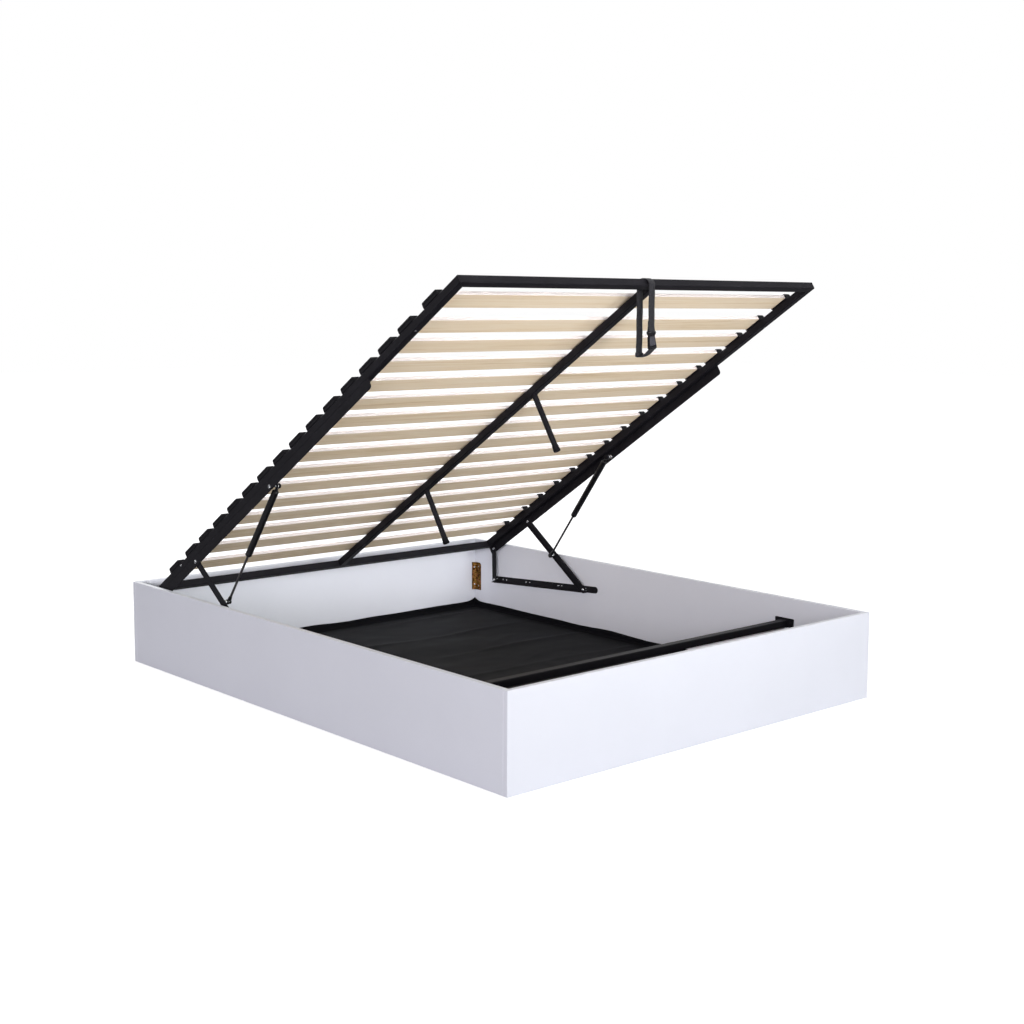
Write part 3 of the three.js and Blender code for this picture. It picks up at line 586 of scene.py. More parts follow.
frontBase = jointAt["lift"]
frontArm = jointAt["platform_tilt"]
rearArm = jointAt["rear_link_right_swing"]
rearBase = middleOf("rear_pivot_right")
strutTop = jointAt["strut_right_swing"]
strutFoot = middleOf("lower_ball_stud_right")
tiltTurn = Matrix.Rotation(-math.radians(platform["tilt"]), 4, "X")
headEnd = frontArm - tiltTurn @ Vector((0, -platform["frontArm"], -platform["armDepth"])) * 0.001
platformPlace = Matrix.Translation((0, headEnd.y, headEnd.z)) @ tiltTurn @ toMetres
frontLinkPlace = along(frontBase, frontArm)
rearLinkPlace = along(rearBase, rearArm)
strutPlace = along(strutFoot, strutTop)
basePlace = along(frontBase, rearBase)
strapPlace = Matrix.Translation((0, jointAt["strap_swing"].y, jointAt["strap_swing"].z)) @ toMetres
frontLinkLength = (frontArm - frontBase).yz.length * 1000
rearLinkLength = (rearArm - rearBase).yz.length * 1000
strutLength = (strutTop - strutFoot).yz.length * 1000
baseSpan = (rearBase - frontBase).yz.length * 1000


def addBothSides(name, bm, place, body, slot, replaces="", **options):
    # The left one is the right one's mirror image; {side} in body and replaces is filled in
    mirror = flipped(bm.copy())
    for side, shape in (("right", bm), ("left", mirror)):
        rides, node = body.format(side=side), replaces.format(side=side)
        addPiece(name + side.capitalize(), shape, place, rides, slot, node, **options)


print("places worked out")


# Boards

boards = {"edge": 1.6, "segments": 3}


def makeBoards():
    for node in ("head_board", "foot_board", "side_board_left", "side_board_right"):
        low, high = cornersOf(node)
        board = block(low, high, boards["edge"], boards["segments"])
        addPiece(camel(node), board, toMetres, "root", "white_board")


makeBoards()
print("boards made")


# Screws: a head turned with its dome, and a cross recess cut in

screw = {"headRadius": 4.0, "headHeight": 2.2, "crossWidth": 1.1, "crossLength": 4.6, "crossDepth": 1.3}


def screwHead():
    # Along +X from the surface it holds down, which is at x = 0
    radius, height = screw["headRadius"], screw["headHeight"]
    head = turned([
        (-0.4, 0), (-0.4, radius * 0.96), (height * 0.25, radius), (height * 0.62, radius * 0.86),
        (height * 0.88, radius * 0.55), (height, 0),
    ], steps=24)
    reach, half = screw["crossLength"] / 2, screw["crossWidth"] / 2
    deep = height - screw["crossDepth"]
    bars = [
        block((deep, -reach, -half), (height + 1, reach, half)),
        block((deep, -half, -reach), (height + 1, half, reach)),
    ]
    return cutBy(head, *bars)


basicScrew = screwHead()


def screwAt(point, facing, radius=None):
    # facing is the direction out of the surface
    shape = copied(basicScrew)
    turn = Vector((1, 0, 0)).rotation_difference(Vector(facing)).to_matrix().to_4x4()
    size = Matrix.Scale((radius or screw["headRadius"]) / screw["headRadius"], 4)
    shape.transform(Matrix.Translation(point) @ turn @ size)
    return shape


# Corner plates: folded yellow zinc, with a face across the corner that two bolts go through

cornerPlate = {
    "sheet": 2.5, "across": 12, "rounding": 12, "edge": 0.5,
    "beadWidth": 5, "beadHeight": 1.2, "beadGap": 2.5, "beadFromBolt": 8,
    "boltInset": 21, "boltRadius": 3.8, "screwInset": 18, "screwRadius": 3.2,
}


def makeCornerPlates():
    plan = cornerPlate
    low, high = cornersOf("corner_plate_head_right")
    wallX, wallY, near, shortEnd = high.x, high.y, low.y, low.x
    bottom, top, sheet, across = low.z, high.z, plan["sheet"], plan["across"]
    bend = across + sheet * math.tan(math.radians(22.5))
    outline = [
        (wallX, near), (wallX, wallY - across), (wallX - across, wallY), (shortEnd, wallY),
        (shortEnd, wallY - sheet), (wallX - bend, wallY - sheet), (wallX - sheet, wallY - bend),
        (wallX - sheet, near),
    ]
    rounding = plan["rounding"]
    waste = [
        *arcPoints(near + rounding, top - rounding, rounding, 180, 90, 8),
        (near + rounding, top + 1), (near - 1, top + 1), (near - 1, top - rounding),
    ]
    folded = cutBy(
        plate([outline], bottom, top, acrossZ), plate([waste], wallX - sheet - 1, wallX + 1, acrossX),
    )
    soften(folded, plan["edge"])
    # Across the corner, local -X points out of the face and the middle of its surface is at x = 0
    faceMiddle = Vector((wallX - (bend + sheet) / 2, wallY - (bend + sheet) / 2, 0))
    cornerTurn = Matrix.Translation(faceMiddle) @ Matrix.Rotation(math.radians(45), 4, "Z")
    middleZ, half, gap = (bottom + top) / 2, plan["beadWidth"] / 2, plan["beadGap"]
    fromEnd = plan["boltInset"] + plan["beadFromBolt"]
    beads = merged(*(
        plate([roundedRectangle(-half, half, z0, z1, half - 0.1)], -plan["beadHeight"], 0.5, acrossX, 0.9, 3)
        for z0, z1 in ((bottom + fromEnd, middleZ - gap), (middleZ + gap, top - fromEnd))
    ))
    beads.transform(cornerTurn)
    bolts = merged(*(
        screwAt((0, 0, z), (-1, 0, 0), plan["boltRadius"])
        for z in (bottom + plan["boltInset"], top - plan["boltInset"])
    ))
    bolts.transform(cornerTurn)
    screwY = (near + wallY - bend) / 2
    screws = [
        screwAt((wallX - sheet, screwY, z), (-1, 0, 0), plan["screwRadius"])
        for z in (bottom + plan["screwInset"], top - plan["screwInset"])
    ]
    angle = merged(folded, beads)
    heads = merged(bolts, *screws)
    footAngle, footHeads = (flipped(copied(shape), (1, -1, 1)) for shape in (angle, heads))
    addBothSides("cornerPlateHead", angle, toMetres, "root", "yellow_zinc")
    addBothSides("cornerScrewsHead", heads, toMetres, "root", "zinc_steel")
    addBothSides("cornerPlateFoot", footAngle, toMetres, "root", "yellow_zinc")
    addBothSides("cornerScrewsFoot", footHeads, toMetres, "root", "zinc_steel")


makeCornerPlates()
print("corner plates made")


# Cross bar

crossBar = {
    "width": 30, "depth": 25, "rounding": 3, "restGap": 0.4, "plateWidth": 82, "sheet": 3,
    "plateRounding": 4, "screwInset": 12, "screwRadius": 4.4, "edge": 0.6,
    "weld": 1.6, "weldSides": 6, "weldSteps": 160, "weldRipple": 0.12, "rippleSteps": 4,
}


def weldRing(loop, x, radius):
    # A bead along a closed outline in Y and Z, at x: a thin ring with a rippled skin
    bm = bmesh.new()
    count, sides = crossBar["weldSteps"], crossBar["weldSides"]
    total, closed = [0.0], loop + loop[:1]
    for (u0, v0), (u1, v1) in zip(closed, closed[1:]):
        total.append(total[-1] + math.hypot(u1 - u0, v1 - v0))
    spots = []
    at = 0
    for i in range(count):
        distance = total[-1] * i / count
        while total[at + 1] < distance:
            at += 1
        share = (distance - total[at]) / (total[at + 1] - total[at])
        u = closed[at][0] + share * (closed[at + 1][0] - closed[at][0])
        v = closed[at][1] + share * (closed[at + 1][1] - closed[at][1])
        spots.append((u, v))
    middle = Vector((sum(s[0] for s in spots), sum(s[1] for s in spots))) / count
    rings = []
    for i, (u, v) in enumerate(spots):
        before, after = Vector(spots[i - 1]), Vector(spots[(i + 1) % count])
        tangent = (after - before).normalized()
        outward = Vector((tangent.y, -tangent.x))
        if outward.dot(Vector((u, v)) - middle) < 0:
            outward = -outward
        ripple = math.sin(i * 2 * math.pi / crossBar["rippleSteps"])
        swell = radius * (1 + crossBar["weldRipple"] * ripple)
        section = []
        for k in range(sides):
            turn = 2 * math.pi * k / sides
            skin = Vector((u, v)) + outward * swell * math.cos(turn)
            section.append(bm.verts.new((x + swell * math.sin(turn), skin.x, skin.y)))
        rings.append([bm.edges.new((section[k], section[(k + 1) % sides])) for k in range(sides)])
    for i in range(count):
        bmesh.ops.bridge_loops(bm, edges=rings[i] + rings[(i + 1) % count])
    bmesh.ops.recalc_face_normals(bm, faces=bm.faces)
    return bm


def platformShutTop():
    # The boards stand above it by the recess that keeps the mattress in place
    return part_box("foot_board")[1].z * 1000 - platform["recess"]


def makeCrossBar():
    plan = crossBar
    low, high = cornersOf("cross_bar")
    middleY = (low.y + high.y) / 2
    plateTop, plateBottom = high.z, low.z
    tubeTop = platformShutTop() - platform["tube"] - plan["restGap"]
    outline = roundedRectangle(
        middleY - plan["width"] / 2, middleY + plan["width"] / 2, tubeTop - plan["depth"], tubeTop,
        plan["rounding"], 5,
    )
    tubeEnd = high.x - plan["sheet"]
    tube = plate([outline], -tubeEnd, tubeEnd, acrossX)
    ends, screws = [], []
    for sign in (1, -1):
        corners = roundedRectangle(
            middleY - plan["plateWidth"] / 2, middleY + plan["plateWidth"] / 2, plateBottom, plateTop,
            plan["plateRounding"], 5,
        )
        span = sorted((sign * tubeEnd, sign * high.x))
        ends.append(plate([corners], span[0], span[1], acrossX, plan["edge"]))
        ends.append(weldRing(outline, sign * tubeEnd, plan["weld"]))
        for side in (1, -1):
            screwY = middleY + side * (plan["plateWidth"] / 2 - plan["screwInset"])
            spot = (sign * tubeEnd, screwY, (plateTop + plateBottom) / 2)
            screws.append(screwAt(spot, (-sign, 0, 0), plan["screwRadius"]))
    addPiece("crossBar", merged(tube, *ends), toMetres, "root", "black_steel")
    addPiece("crossBarScrews", merged(*screws), toMetres, "root", "black_steel")


makeCrossBar()
print("cross bar made")


# Base bars with their screws, and the pivot pins

baseBar = {
    "height": 26, "reach": 16, "sheet": 3, "corner": 4, "edge": 0.7, "pastRear": 29, "pastFront": 60,
    "hole": 4.5, "endScrewOverlap": 1.2,
    "screwPlaces": (0.29, 0.649, 0.92), "screwGap": 22, "screwRadius": 3.6,
}


def makeBaseBars():
    plan = baseBar
    half, corner = plan["height"] / 2, plan["corner"]
    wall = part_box("hinge_base_right")[1].x * 1000
    front, rear = -plan["pastFront"], baseSpan + plan["pastRear"]
    outline = [
        *arcPoints(front + half, 0, half, 90, 270, 14),
        *arcPoints(rear - corner, -half + corner, corner, 270, 360, 4),
        *arcPoints(rear - corner, half - corner, corner, 0, 90, 4),
    ]
    hole = circlePoints(front + half, 0, plan["hole"])
    upright = plate([outline, hole], wall - plan["sheet"], wall, acrossX, plan["edge"])
    foot = block(
        (wall - plan["reach"], 0, -half), (wall - 0.5, rear - 1, -half + plan["sheet"]), plan["edge"],
    )
    addBothSides("baseBar", merged(upright, foot), basePlace, "root", "black_steel", "hinge_base_{side}")
    heads = []
    for share in plan["screwPlaces"]:
        for side in (-1, 1):
            spot = (wall - plan["sheet"], baseSpan * share + side * plan["screwGap"] / 2, 1)
            heads.append(screwAt(spot, (-1, 0, 0), plan["screwRadius"]))
    addBothSides("baseBarScrews", merged(*heads), basePlace, "root", "zinc_steel")
    endRadius = plan["hole"] + plan["endScrewOverlap"]
    endScrew = screwAt((wall - plan["sheet"], front + half, 0), (-1, 0, 0), endRadius)
    addBothSides("baseBarEndScrew", endScrew, basePlace, "root", "black_steel")


link = {
    "thickness": 4, "frontWidth": 26, "rearWidth": 24, "edge": 0.8,
    "lip": 6, "lipSheet": 2, "lipFromEnd": 6, "lipInset": 0.6,
}

rivet = {"radius": 6.6, "height": 2.9, "pin": 4.2, "shoulder": 7, "seat": 0.09, "fromTip": 2.7, "pinGap": 0.3}


def domedHead(x, direction):
    # Profile pairs of a rivet's domed head from its seat at x outwards
    radius, height = rivet["radius"], rivet["height"]
    steps = 7
    profile = [(x, radius * 0.93), (x + direction * height * 0.12, radius)]
    for i in range(1, steps + 1):
        turn = math.pi / 2 * i / steps
        profile.append((x + direction * height * (0.12 + 0.88 * math.sin(turn)), radius * math.cos(turn)))
    profile[-1] = (profile[-1][0], 0)
    return profile


def makeBasePins():
    low, high = cornersOf("front_pivot_right")
    linkInner = low.x + rivet["fromTip"]
    linkOuter = linkInner + link["thickness"] + 2 * rivet["pinGap"]
    wall = high.x
    barFace = wall - baseBar["sheet"]
    head = domedHead(linkInner, -1)
    frontPin = turned([
        *reversed(head), (linkInner, rivet["pin"]), (linkOuter, rivet["pin"]), (linkOuter, rivet["shoulder"]),
        (barFace, rivet["shoulder"]), (barFace, rivet["pin"]), (wall, rivet["pin"]), (wall, 0),
    ])
    addBothSides("frontPivot", frontPin, basePlace, "root", "zinc_steel")
    low, high = cornersOf("rear_pivot_right")
    rearPin = turned([
        (low.x, 0), (low.x, rivet["shoulder"] - 0.6), (low.x + 0.6, rivet["shoulder"]),
        (barFace, rivet["shoulder"]), (barFace, rivet["pin"]), (high.x, rivet["pin"]), (high.x, 0),
    ])
    addBothSides("rearPivot", shifted(rearPin, y=baseSpan), basePlace, "root", "zinc_steel")


makeBaseBars()
makeBasePins()
print("base bars made")


# Links: flat steel, the front one with a turned lip along its lower edge

def rivetThrough(place, linkInner, outerFace):
    # A rivet through link and arm: domed inside, domed outside
    inside = domedHead(linkInner - rivet["seat"], -1)
    outside = domedHead(outerFace + rivet["seat"], 1)
    shape = turned([*reversed(inside), (linkInner, rivet["pin"]), (outerFace, rivet["pin"]), *outside])
    return shifted(shape, y=place)


def makeLinks():
    outer = platform["width"] / 2
    linkOuter = outer - platform["armSheet"] - platform["armGap"]
    linkInner = linkOuter - link["thickness"]
    for end, length, place in (
        ("front", frontLinkLength, frontLinkPlace), ("rear", rearLinkLength, rearLinkPlace),
    ):
        half = link[end + "Width"] / 2
        outline = [*arcPoints(length, 0, half, -90, 90, 16), *arcPoints(0, 0, half, 90, 270, 16)]
        shape = plate([outline], linkInner, linkOuter, acrossX, link["edge"])
        if end == "front":
            tip, root, top = linkInner - link["lip"], linkOuter - link["lipInset"], -half + link["lipSheet"]
            lipOutline = [(tip, -half), (root, -half), (root, top), (tip, top)]
            lip = plate([lipOutline], link["lipFromEnd"], length - link["lipFromEnd"], acrossY, 0.5)
            shape = merged(shape, lip)
        body = end + "_link_{side}"
        addBothSides(end + "Link", shape, place, body, "black_steel")
        addBothSides(end + "Rivet", rivetThrough(length, linkInner, outer), place, body, "zinc_steel")
    head = domedHead(linkInner, -1)
    lowerRivet = turned([*reversed(head), (linkInner + 1, rivet["pin"]), (linkInner + 1, 0)])
    addBothSides("rearLowerRivet", lowerRivet, rearLinkPlace, "rear_link_{side}", "zinc_steel")


makeLinks()
print("links made")


# Platform frame

tube = {"rounding": 2.6, "steps": 4, "mitreGap": 0.15}


def squareTube(length):
    # A closed tube along X with mitred ends: its outer face is y = 0 and its top is z = 0
    size = platform["tube"]
    outline = roundedRectangle(-size, 0, -size, 0, tube["rounding"], tube["steps"])
    bm = plate([outline], -length / 2 - 1, length / 2 + 1, acrossX)
    reach = length / 2 - tube["mitreGap"]
    for sign in (1, -1):
        bmesh.ops.bisect_plane(
            bm, geom=bm.verts[:] + bm.edges[:] + bm.faces[:], plane_co=(sign * reach, 0, 0),
            plane_no=(sign, -1, 0), clear_outer=True,
        )
        rim = [e for e in bm.edges if e.is_boundary]
        bmesh.ops.contextual_create(bm, geom=rim)
    bmesh.ops.recalc_face_normals(bm, faces=bm.faces)
    return bm


def makePlatformFrame():
    width, length, size = platform["width"], platform["length"], platform["tube"]
    endTube = squareTube(width)
    footTube = copied(endTube, Matrix.Translation((0, -length, 0)) @ Matrix.Rotation(math.pi, 4, "Z"))
    addPiece("headRail", endTube, platformPlace, "platform", "black_steel")
    addPiece("footRail", footTube, platformPlace, "platform", "black_steel")
    sideTube = squareTube(length)
    sideTube.transform(Matrix.Rotation(-math.pi / 2, 4, "Z"))
    shifted(sideTube, width / 2, -length / 2)
    addBothSides("sideRail", sideTube, platformPlace, "platform", "black_steel")
    half = size / 2
    outline = roundedRectangle(-half, half, -size, 0, tube["rounding"], tube["steps"])
    centre = plate([outline], -length + size, -size, acrossY)
    addPiece("centreRail", centre, platformPlace, "platform", "black_steel")


liftArm = {"depth": 30.7, "length": 1495, "corner": 10, "intoTube": 0.4, "edge": 0.7}


def makeLiftArms():
    outer = platform["width"] / 2
    top = -platform["tube"] + liftArm["intoTube"]
    bottom = top - liftArm["depth"]
    length, corner = liftArm["length"], liftArm["corner"]
    outline = [
        (0, top), (-length, top),
        *arcPoints(-length + corner, bottom + corner, corner, 180, 270, 6),
        *arcPoints(-corner, bottom + corner, corner, 270, 360, 6),
    ]
    arm = plate([outline], outer - platform["armSheet"], outer, acrossX, liftArm["edge"])
    addBothSides("liftArm", arm, platformPlace, "platform", "black_steel")


leg = {
    "places": (("head", 655), ("foot", 1343)), "radius": 9.5, "collarRadius": 11, "collarHeight": 12,
    "footRadius": 12, "footHeight": 9, "floorGap": 0.5, "linerThickness": 3,
}


def makeLegs():
    top = -platform["tube"]
    bottom = -platformShutTop() + leg["linerThickness"] + leg["floorGap"]
    footTop = bottom + leg["footHeight"]
    collarTop = footTop + leg["collarHeight"]
    radius, collar, foot = leg["radius"], leg["collarRadius"], leg["footRadius"]
    for end, place in leg["places"]:
        post = turned([
            (collarTop - 1, 0), (collarTop - 1, radius), (top - 1.2, radius), (top - 1.2, radius + 2.2),
            (top - 0.2, radius + 2.4), (top + 0.2, radius), (top + 0.2, 0),
        ], "Z")
        shifted(post, y=-place)
        addPiece("centreLeg" + end.capitalize(), post, platformPlace, "platform", "black_steel")
        cap = turned([
            (bottom, 0), (bottom, foot - 1.5), (bottom + 0.5, foot - 0.4), (bottom + 1.6, foot),
            (footTop - 1.2, foot), (footTop, foot - 1), (footTop, collar - 0.6), (footTop + 0.8, collar),
            (collarTop - 1.2, collar), (collarTop, collar - 0.8), (collarTop, radius - 0.5), (collarTop, 0),
        ], "Z")
        shifted(cap, y=-place)
        addPiece("legFoot" + end.capitalize(), cap, platformPlace, "platform", "black_plastic")


tubeScrew = {"outside": 184, "outsideDepth": 8, "below": 1753, "belowInset": 8, "radius": 3.2}


def makeTubeScrews():
    # One on the outside of each side tube beside the first slat holder, and one under it near the foot end
    outer = platform["width"] / 2
    radius = tubeScrew["radius"]
    outside = screwAt((outer, -tubeScrew["outside"], -tubeScrew["outsideDepth"]), (1, 0, 0), radius)
    spot = (outer - tubeScrew["belowInset"], -tubeScrew["below"], -platform["tube"])
    below = screwAt(spot, (0, 0, -1), radius)
    addBothSides("tubeScrews", merged(outside, below), platformPlace, "platform", "zinc_steel")


makePlatformFrame()
makeLiftArms()
makeLegs()
makeTubeScrews()
print("platform frame made")


# Slats and their holders

slat = {
    "width": 68, "thickness": 12, "underside": 3.3, "intoHolder": 15, "edge": 1.0,
    "endInset": 138, "innerInset": 272, "innerCount": 14,
}


def slatPlaces():
    pitch = (platform["length"] - 2 * slat["innerInset"]) / (slat["innerCount"] - 1)
    inner = [slat["innerInset"] + i * pitch for i in range(slat["innerCount"])]
    return [slat["endInset"], *inner, platform["length"] - slat["endInset"]]


def slatStrip():
    # A flat board of laminated veneers; "through" is the height in its thickness, and "edge" is 1 on its
    # narrow faces
    end = platform["width"] / 2 - platform["tube"] + slat["intoHolder"]
    half = slat["width"] / 2
    bm = block((-end, -half, 0), (end, half, slat["thickness"]), slat["edge"], 2)
    through = bm.verts.layers.float.new("through")
    edge = bm.verts.layers.float.new("edge")
    for vert in bm.verts:
        vert[through] = vert.co.z / slat["thickness"]
        vert[edge] = 1.0 if abs(vert.co.y) > half - slat["edge"] * 0.6 or abs(vert.co.x) > end - 1 else 0.0
    return bm


def makeSlats():
    for i, place in enumerate(slatPlaces()):
        strip = shifted(slatStrip(), 0, -place, slat["underside"])
        addPiece(f"slat{i + 1:02d}", strip, platformPlace, "platform", "birch")


holder = {
    "length": 74, "height": 18.5, "inner": 722, "outer": 751, "beakTip": 708, "beakHalf": 20, "beakCorner": 6,
    "wall": 10, "corner": 5, "undercut": 1.2, "bead": 2.2, "roof": 2.2, "floor": 3.0, "edge": 0.7,
}


def holderShape():
    plan = holder
    half, top, corner = plan["length"] / 2, plan["height"], plan["corner"]
    side = [
        (-half + plan["undercut"], 0), (half - plan["undercut"], 0), (half, 3.5),
        *arcPoints(half - corner, top - corner, corner, 0, 90, 5),
        *arcPoints(-half + corner, top - corner, corner, 90, 180, 5),
        (-half, 3.5),
    ]
    faceX = plan["outer"]
    wall = plate([side], faceX - plan["wall"], faceX - plan["bead"] * 0.5, acrossX, plan["edge"])
    outline = roundedRectangle(-half + 2.5, half - 2.5, top - 8.5, top - 1.2, 3.4, 5)
    bead = plate([outline], faceX - 3, faceX, acrossX, 1.2, 3)
    outline = roundedRectangle(-half + 3.5, half - 3.5, 1.2, top - 11, 2.4)
    skirt = plate([outline], faceX - 3, faceX - 0.1, acrossX, 0.8)
    wallX, roofBottom = faceX - plan["wall"] + 1, top - plan["roof"]
    floor = block((plan["inner"], -half + 1, 0.1), (wallX, half - 1, plan["floor"]), plan["edge"])
    inner, beak, beakHalf, bend = plan["inner"], plan["beakTip"], plan["beakHalf"], plan["beakCorner"]
    roofPlan = [
        (faceX - 2, -half + 2), (faceX - 2, half - 2), (inner + 3, half - 1), (inner, half - 5),
        (inner - 1, beakHalf + 4), *arcPoints(beak + bend, beakHalf - bend, bend, 90, 180, 4),
        *arcPoints(beak + bend, -beakHalf + bend, bend, 180, 270, 4), (inner - 1, -beakHalf - 4),
        (inner, -half + 5), (inner + 3, -half + 1),
    ]
    roof = plate([roofPlan], roofBottom, top, acrossZ, 0.5)
    cheeks = []
    for sign in (1, -1):
        edges = sorted((sign * (slat["width"] / 2 + 0.3), sign * (half - 0.4)))
        cheeks.append(block((inner, edges[0], 0), (wallX, edges[1], roofBottom + 0.5), 0.5))
    return merged(wall, bead, skirt, floor, roof, *cheeks)


def makeHolders():
    shape = holderShape()
    for i, place in enumerate(slatPlaces()):
        moved = copied(shape, Matrix.Translation((0, -place, 0)))
        addBothSides(f"slatHolder{i + 1:02d}", moved, platformPlace, "platform", "black_plastic")
    shape.free()


makeSlats()
makeHolders()
print("slats made")


# Gas struts

strut = {
    "x": middleOf("strut_cylinder_right").x * 1000,
    "cylinderRadius": 11, "cylinderLength": 290, "endNeck": 20, "gland": 6.4,
    "rodRadius": 4, "rodStart": 5, "rodInside": 12,
    "socketRadius": 8.5, "socketWidth": 15, "clipWire": 0.8, "clipTurn": 290,
    "ball": 5, "neck": 3.5, "collar": 5, "collarRadius": 7.4, "collarEdge": 0.4,
    "nutAcross": 12.32, "nutHeight": 5.1, "boltRadius": 4.2, "boltEnd": 6.4,
}


def ballSocket(y):
    # A socket cup across the strut's axis, with the hollow for the ball towards the arm
    x = strut["x"]
    inner, outer = x - strut["socketWidth"] / 2, x + strut["socketWidth"] / 2
    radius = strut["socketRadius"]
    cup = turned([
        (inner, 0), (inner, radius - 2), (inner + 0.6, radius - 0.8), (inner + 2, radius),
        (outer - 1, radius), (outer, radius - 0.8), (outer, strut["ball"] + 0.5),
        (inner + 2, strut["ball"] + 0.5), (inner + 2, 0),
    ])
    return shifted(cup, y=y)


def clipRing(y):
    # The spring clip that keeps the ball in its socket
    x = strut["x"] + strut["socketWidth"] / 2 - 3.5
    radius, wire = strut["socketRadius"] + 0.25, strut["clipWire"]
    bm = bmesh.new()
    ring = bmesh.ops.create_circle(
        bm, cap_ends=False, radius=wire, segments=8, matrix=Matrix.Translation((x, radius, 0)),
    )
    bmesh.ops.spin(
        bm, geom=ring["verts"] + bm.edges[:], cent=(0, 0, 0), axis=(1, 0, 0),
        angle=math.radians(strut["clipTurn"]), steps=28,
    )
    caps = [e for e in bm.edges if e.is_boundary]
    bmesh.ops.holes_fill(bm, edges=caps)
    bmesh.ops.recalc_face_normals(bm, faces=bm.faces)
    return shifted(bm, y=y)


def makeStruts():
    x = strut["x"]
    top = strutLength - strut["endNeck"]
    bottom = top - strut["cylinderLength"]
    radius, gland = strut["cylinderRadius"], strut["gland"]
    body = turned([
        (bottom, 0), (bottom, gland), (bottom + 0.4, gland + 0.4), (bottom + 0.4, radius - 3.2),
        (bottom + 1.2, radius - 2), (bottom + 3.6, radius - 0.3), (bottom + 5, radius), (bottom + 15, radius),
        (bottom + 15.8, radius - 0.5), (bottom + 17.4, radius - 0.5), (bottom + 18.2, radius),
        (top - 6, radius), (top - 3, radius - 0.8), (top - 1, radius - 3), (top, radius - 5.5),
        (top, 5), (strutLength - 6, 5), (strutLength - 6, 0),
    ], "Y", 40)
    body = shifted(flipped(body), x)
    rides = "strut_cylinder_{side}"
    addBothSides("strutCylinder", body, strutPlace, rides, "strut_black", smooth=30)
    addBothSides("upperSocket", ballSocket(strutLength), strutPlace, rides, "black_plastic", smooth=30)
    addBothSides("upperClip", clipRing(strutLength), strutPlace, rides, "zinc_steel")
    start, end, rodRadius = strut["rodStart"], bottom + strut["rodInside"], strut["rodRadius"]
    rod = turned([(start, 0), (start, rodRadius), (end, rodRadius), (end, 0)], "Y")
    sleeve = turned([(7, 0), (7, 5.6), (8, 6.2), (17, 6.2), (19, 5.2), (24, 5.0), (25, 4.4), (25, 0)], "Y")
    socket = merged(ballSocket(0), shifted(sleeve, x))
    rides = "strut_rod_{side}"
    addBothSides("strutRod", shifted(rod, x), strutPlace, rides, "strut_rod")
    addBothSides("lowerSocket", socket, strutPlace, rides, "strut_black", smooth=30)
    addBothSides("lowerClip", clipRing(0), strutPlace, rides, "zinc_steel")


def studLine(collarEnd):
    # Pairs along X and radius of a stud's ball, neck and collar, up to its bolt
    ball, neck = strut["ball"], strut["neck"]
    last = math.pi - math.asin(neck / ball)
    steps = 12
    line = []
    for i in range(steps + 1):
        turn = last * i / steps
        line.append((strut["x"] - ball * math.cos(turn), ball * math.sin(turn)))
    line[0] = (line[0][0], 0)
    start, radius = collarEnd - strut["collar"], strut["collarRadius"]
    low = radius - strut["collarEdge"]
    return [
        *line, (start, neck), (start, low), (start + 0.6, radius), (collarEnd - 0.6, radius),
        (collarEnd, low), (collarEnd, strut["boltRadius"]),
    ]


def hexNut(across, height):
    # A nut along +X from x = 0, its corners turned off; across is its width across the flats
    bm = bmesh.new()
    radius = across / 2 / math.cos(math.pi / 6)
    bmesh.ops.create_cone(
        bm, cap_ends=True, segments=6, radius1=radius, radius2=radius, depth=height,
        matrix=Matrix.Translation((height / 2, 0, 0)) @ Matrix.Rotation(math.pi / 2, 4, "Y"),
    )
    return soften(bm, 0.5, 2)


def makeStuds():
    outer, gap, bolt = platform["width"] / 2, platform["armGap"], strut["boltRadius"]
    armInner = outer - platform["armSheet"] - gap
    boltEnd = outer + strut["boltEnd"]
    stud = turned([*studLine(armInner), (boltEnd, bolt), (boltEnd, 0)])
    nut = shifted(hexNut(strut["nutAcross"], strut["nutHeight"]), outer + gap)
    whole = shifted(merged(stud, nut), 0, -platform["strutArm"], -platform["strutArmDepth"])
    addBothSides("upperBallStud", whole, platformPlace, "platform", "zinc_steel")
    linkInner = armInner - link["thickness"]
    boltEnd = linkInner - gap
    lower = turned([*studLine(linkInner - link["lip"] - gap), (boltEnd, bolt), (boltEnd, 0)])
    addBothSides("lowerBallStud", lower, strutPlace, "strut_rod_{side}", "zinc_steel")


makeStruts()
makeStuds()
print("struts made")


# Pull strap: one length of webbing from the buckle's top bar over the foot tube and down to its bottom bar

strap = {
    "width": 25, "thickness": 1.5, "offCentre": -30, "eyeDepth": 20.5, "eyeHeight": 17.7, "drop": 217,
    "skew": 4.5, "tail": 30, "sag": 5, "fold": 4, "hemWidth": 31, "hemHeight": 13, "hemThickness": 7,
    "hemAside": 2, "hemForward": 3, "hemRise": 0.5, "hemEdge": 2.6,
}

buckle = {
    "top": 137, "bottom": 191, "tongueLean": 1.5, "bodyLean": 9, "bar": 3.4, "slot": 2.6,
    "shoulder": 17.5, "shoulderDrop": 6, "crownTop": 14.2, "waist": 11.5, "mouth": 36,
    "tongueThickness": 6, "bodyThickness": 10.6, "hip": 15.5, "edge": 1.3,
}


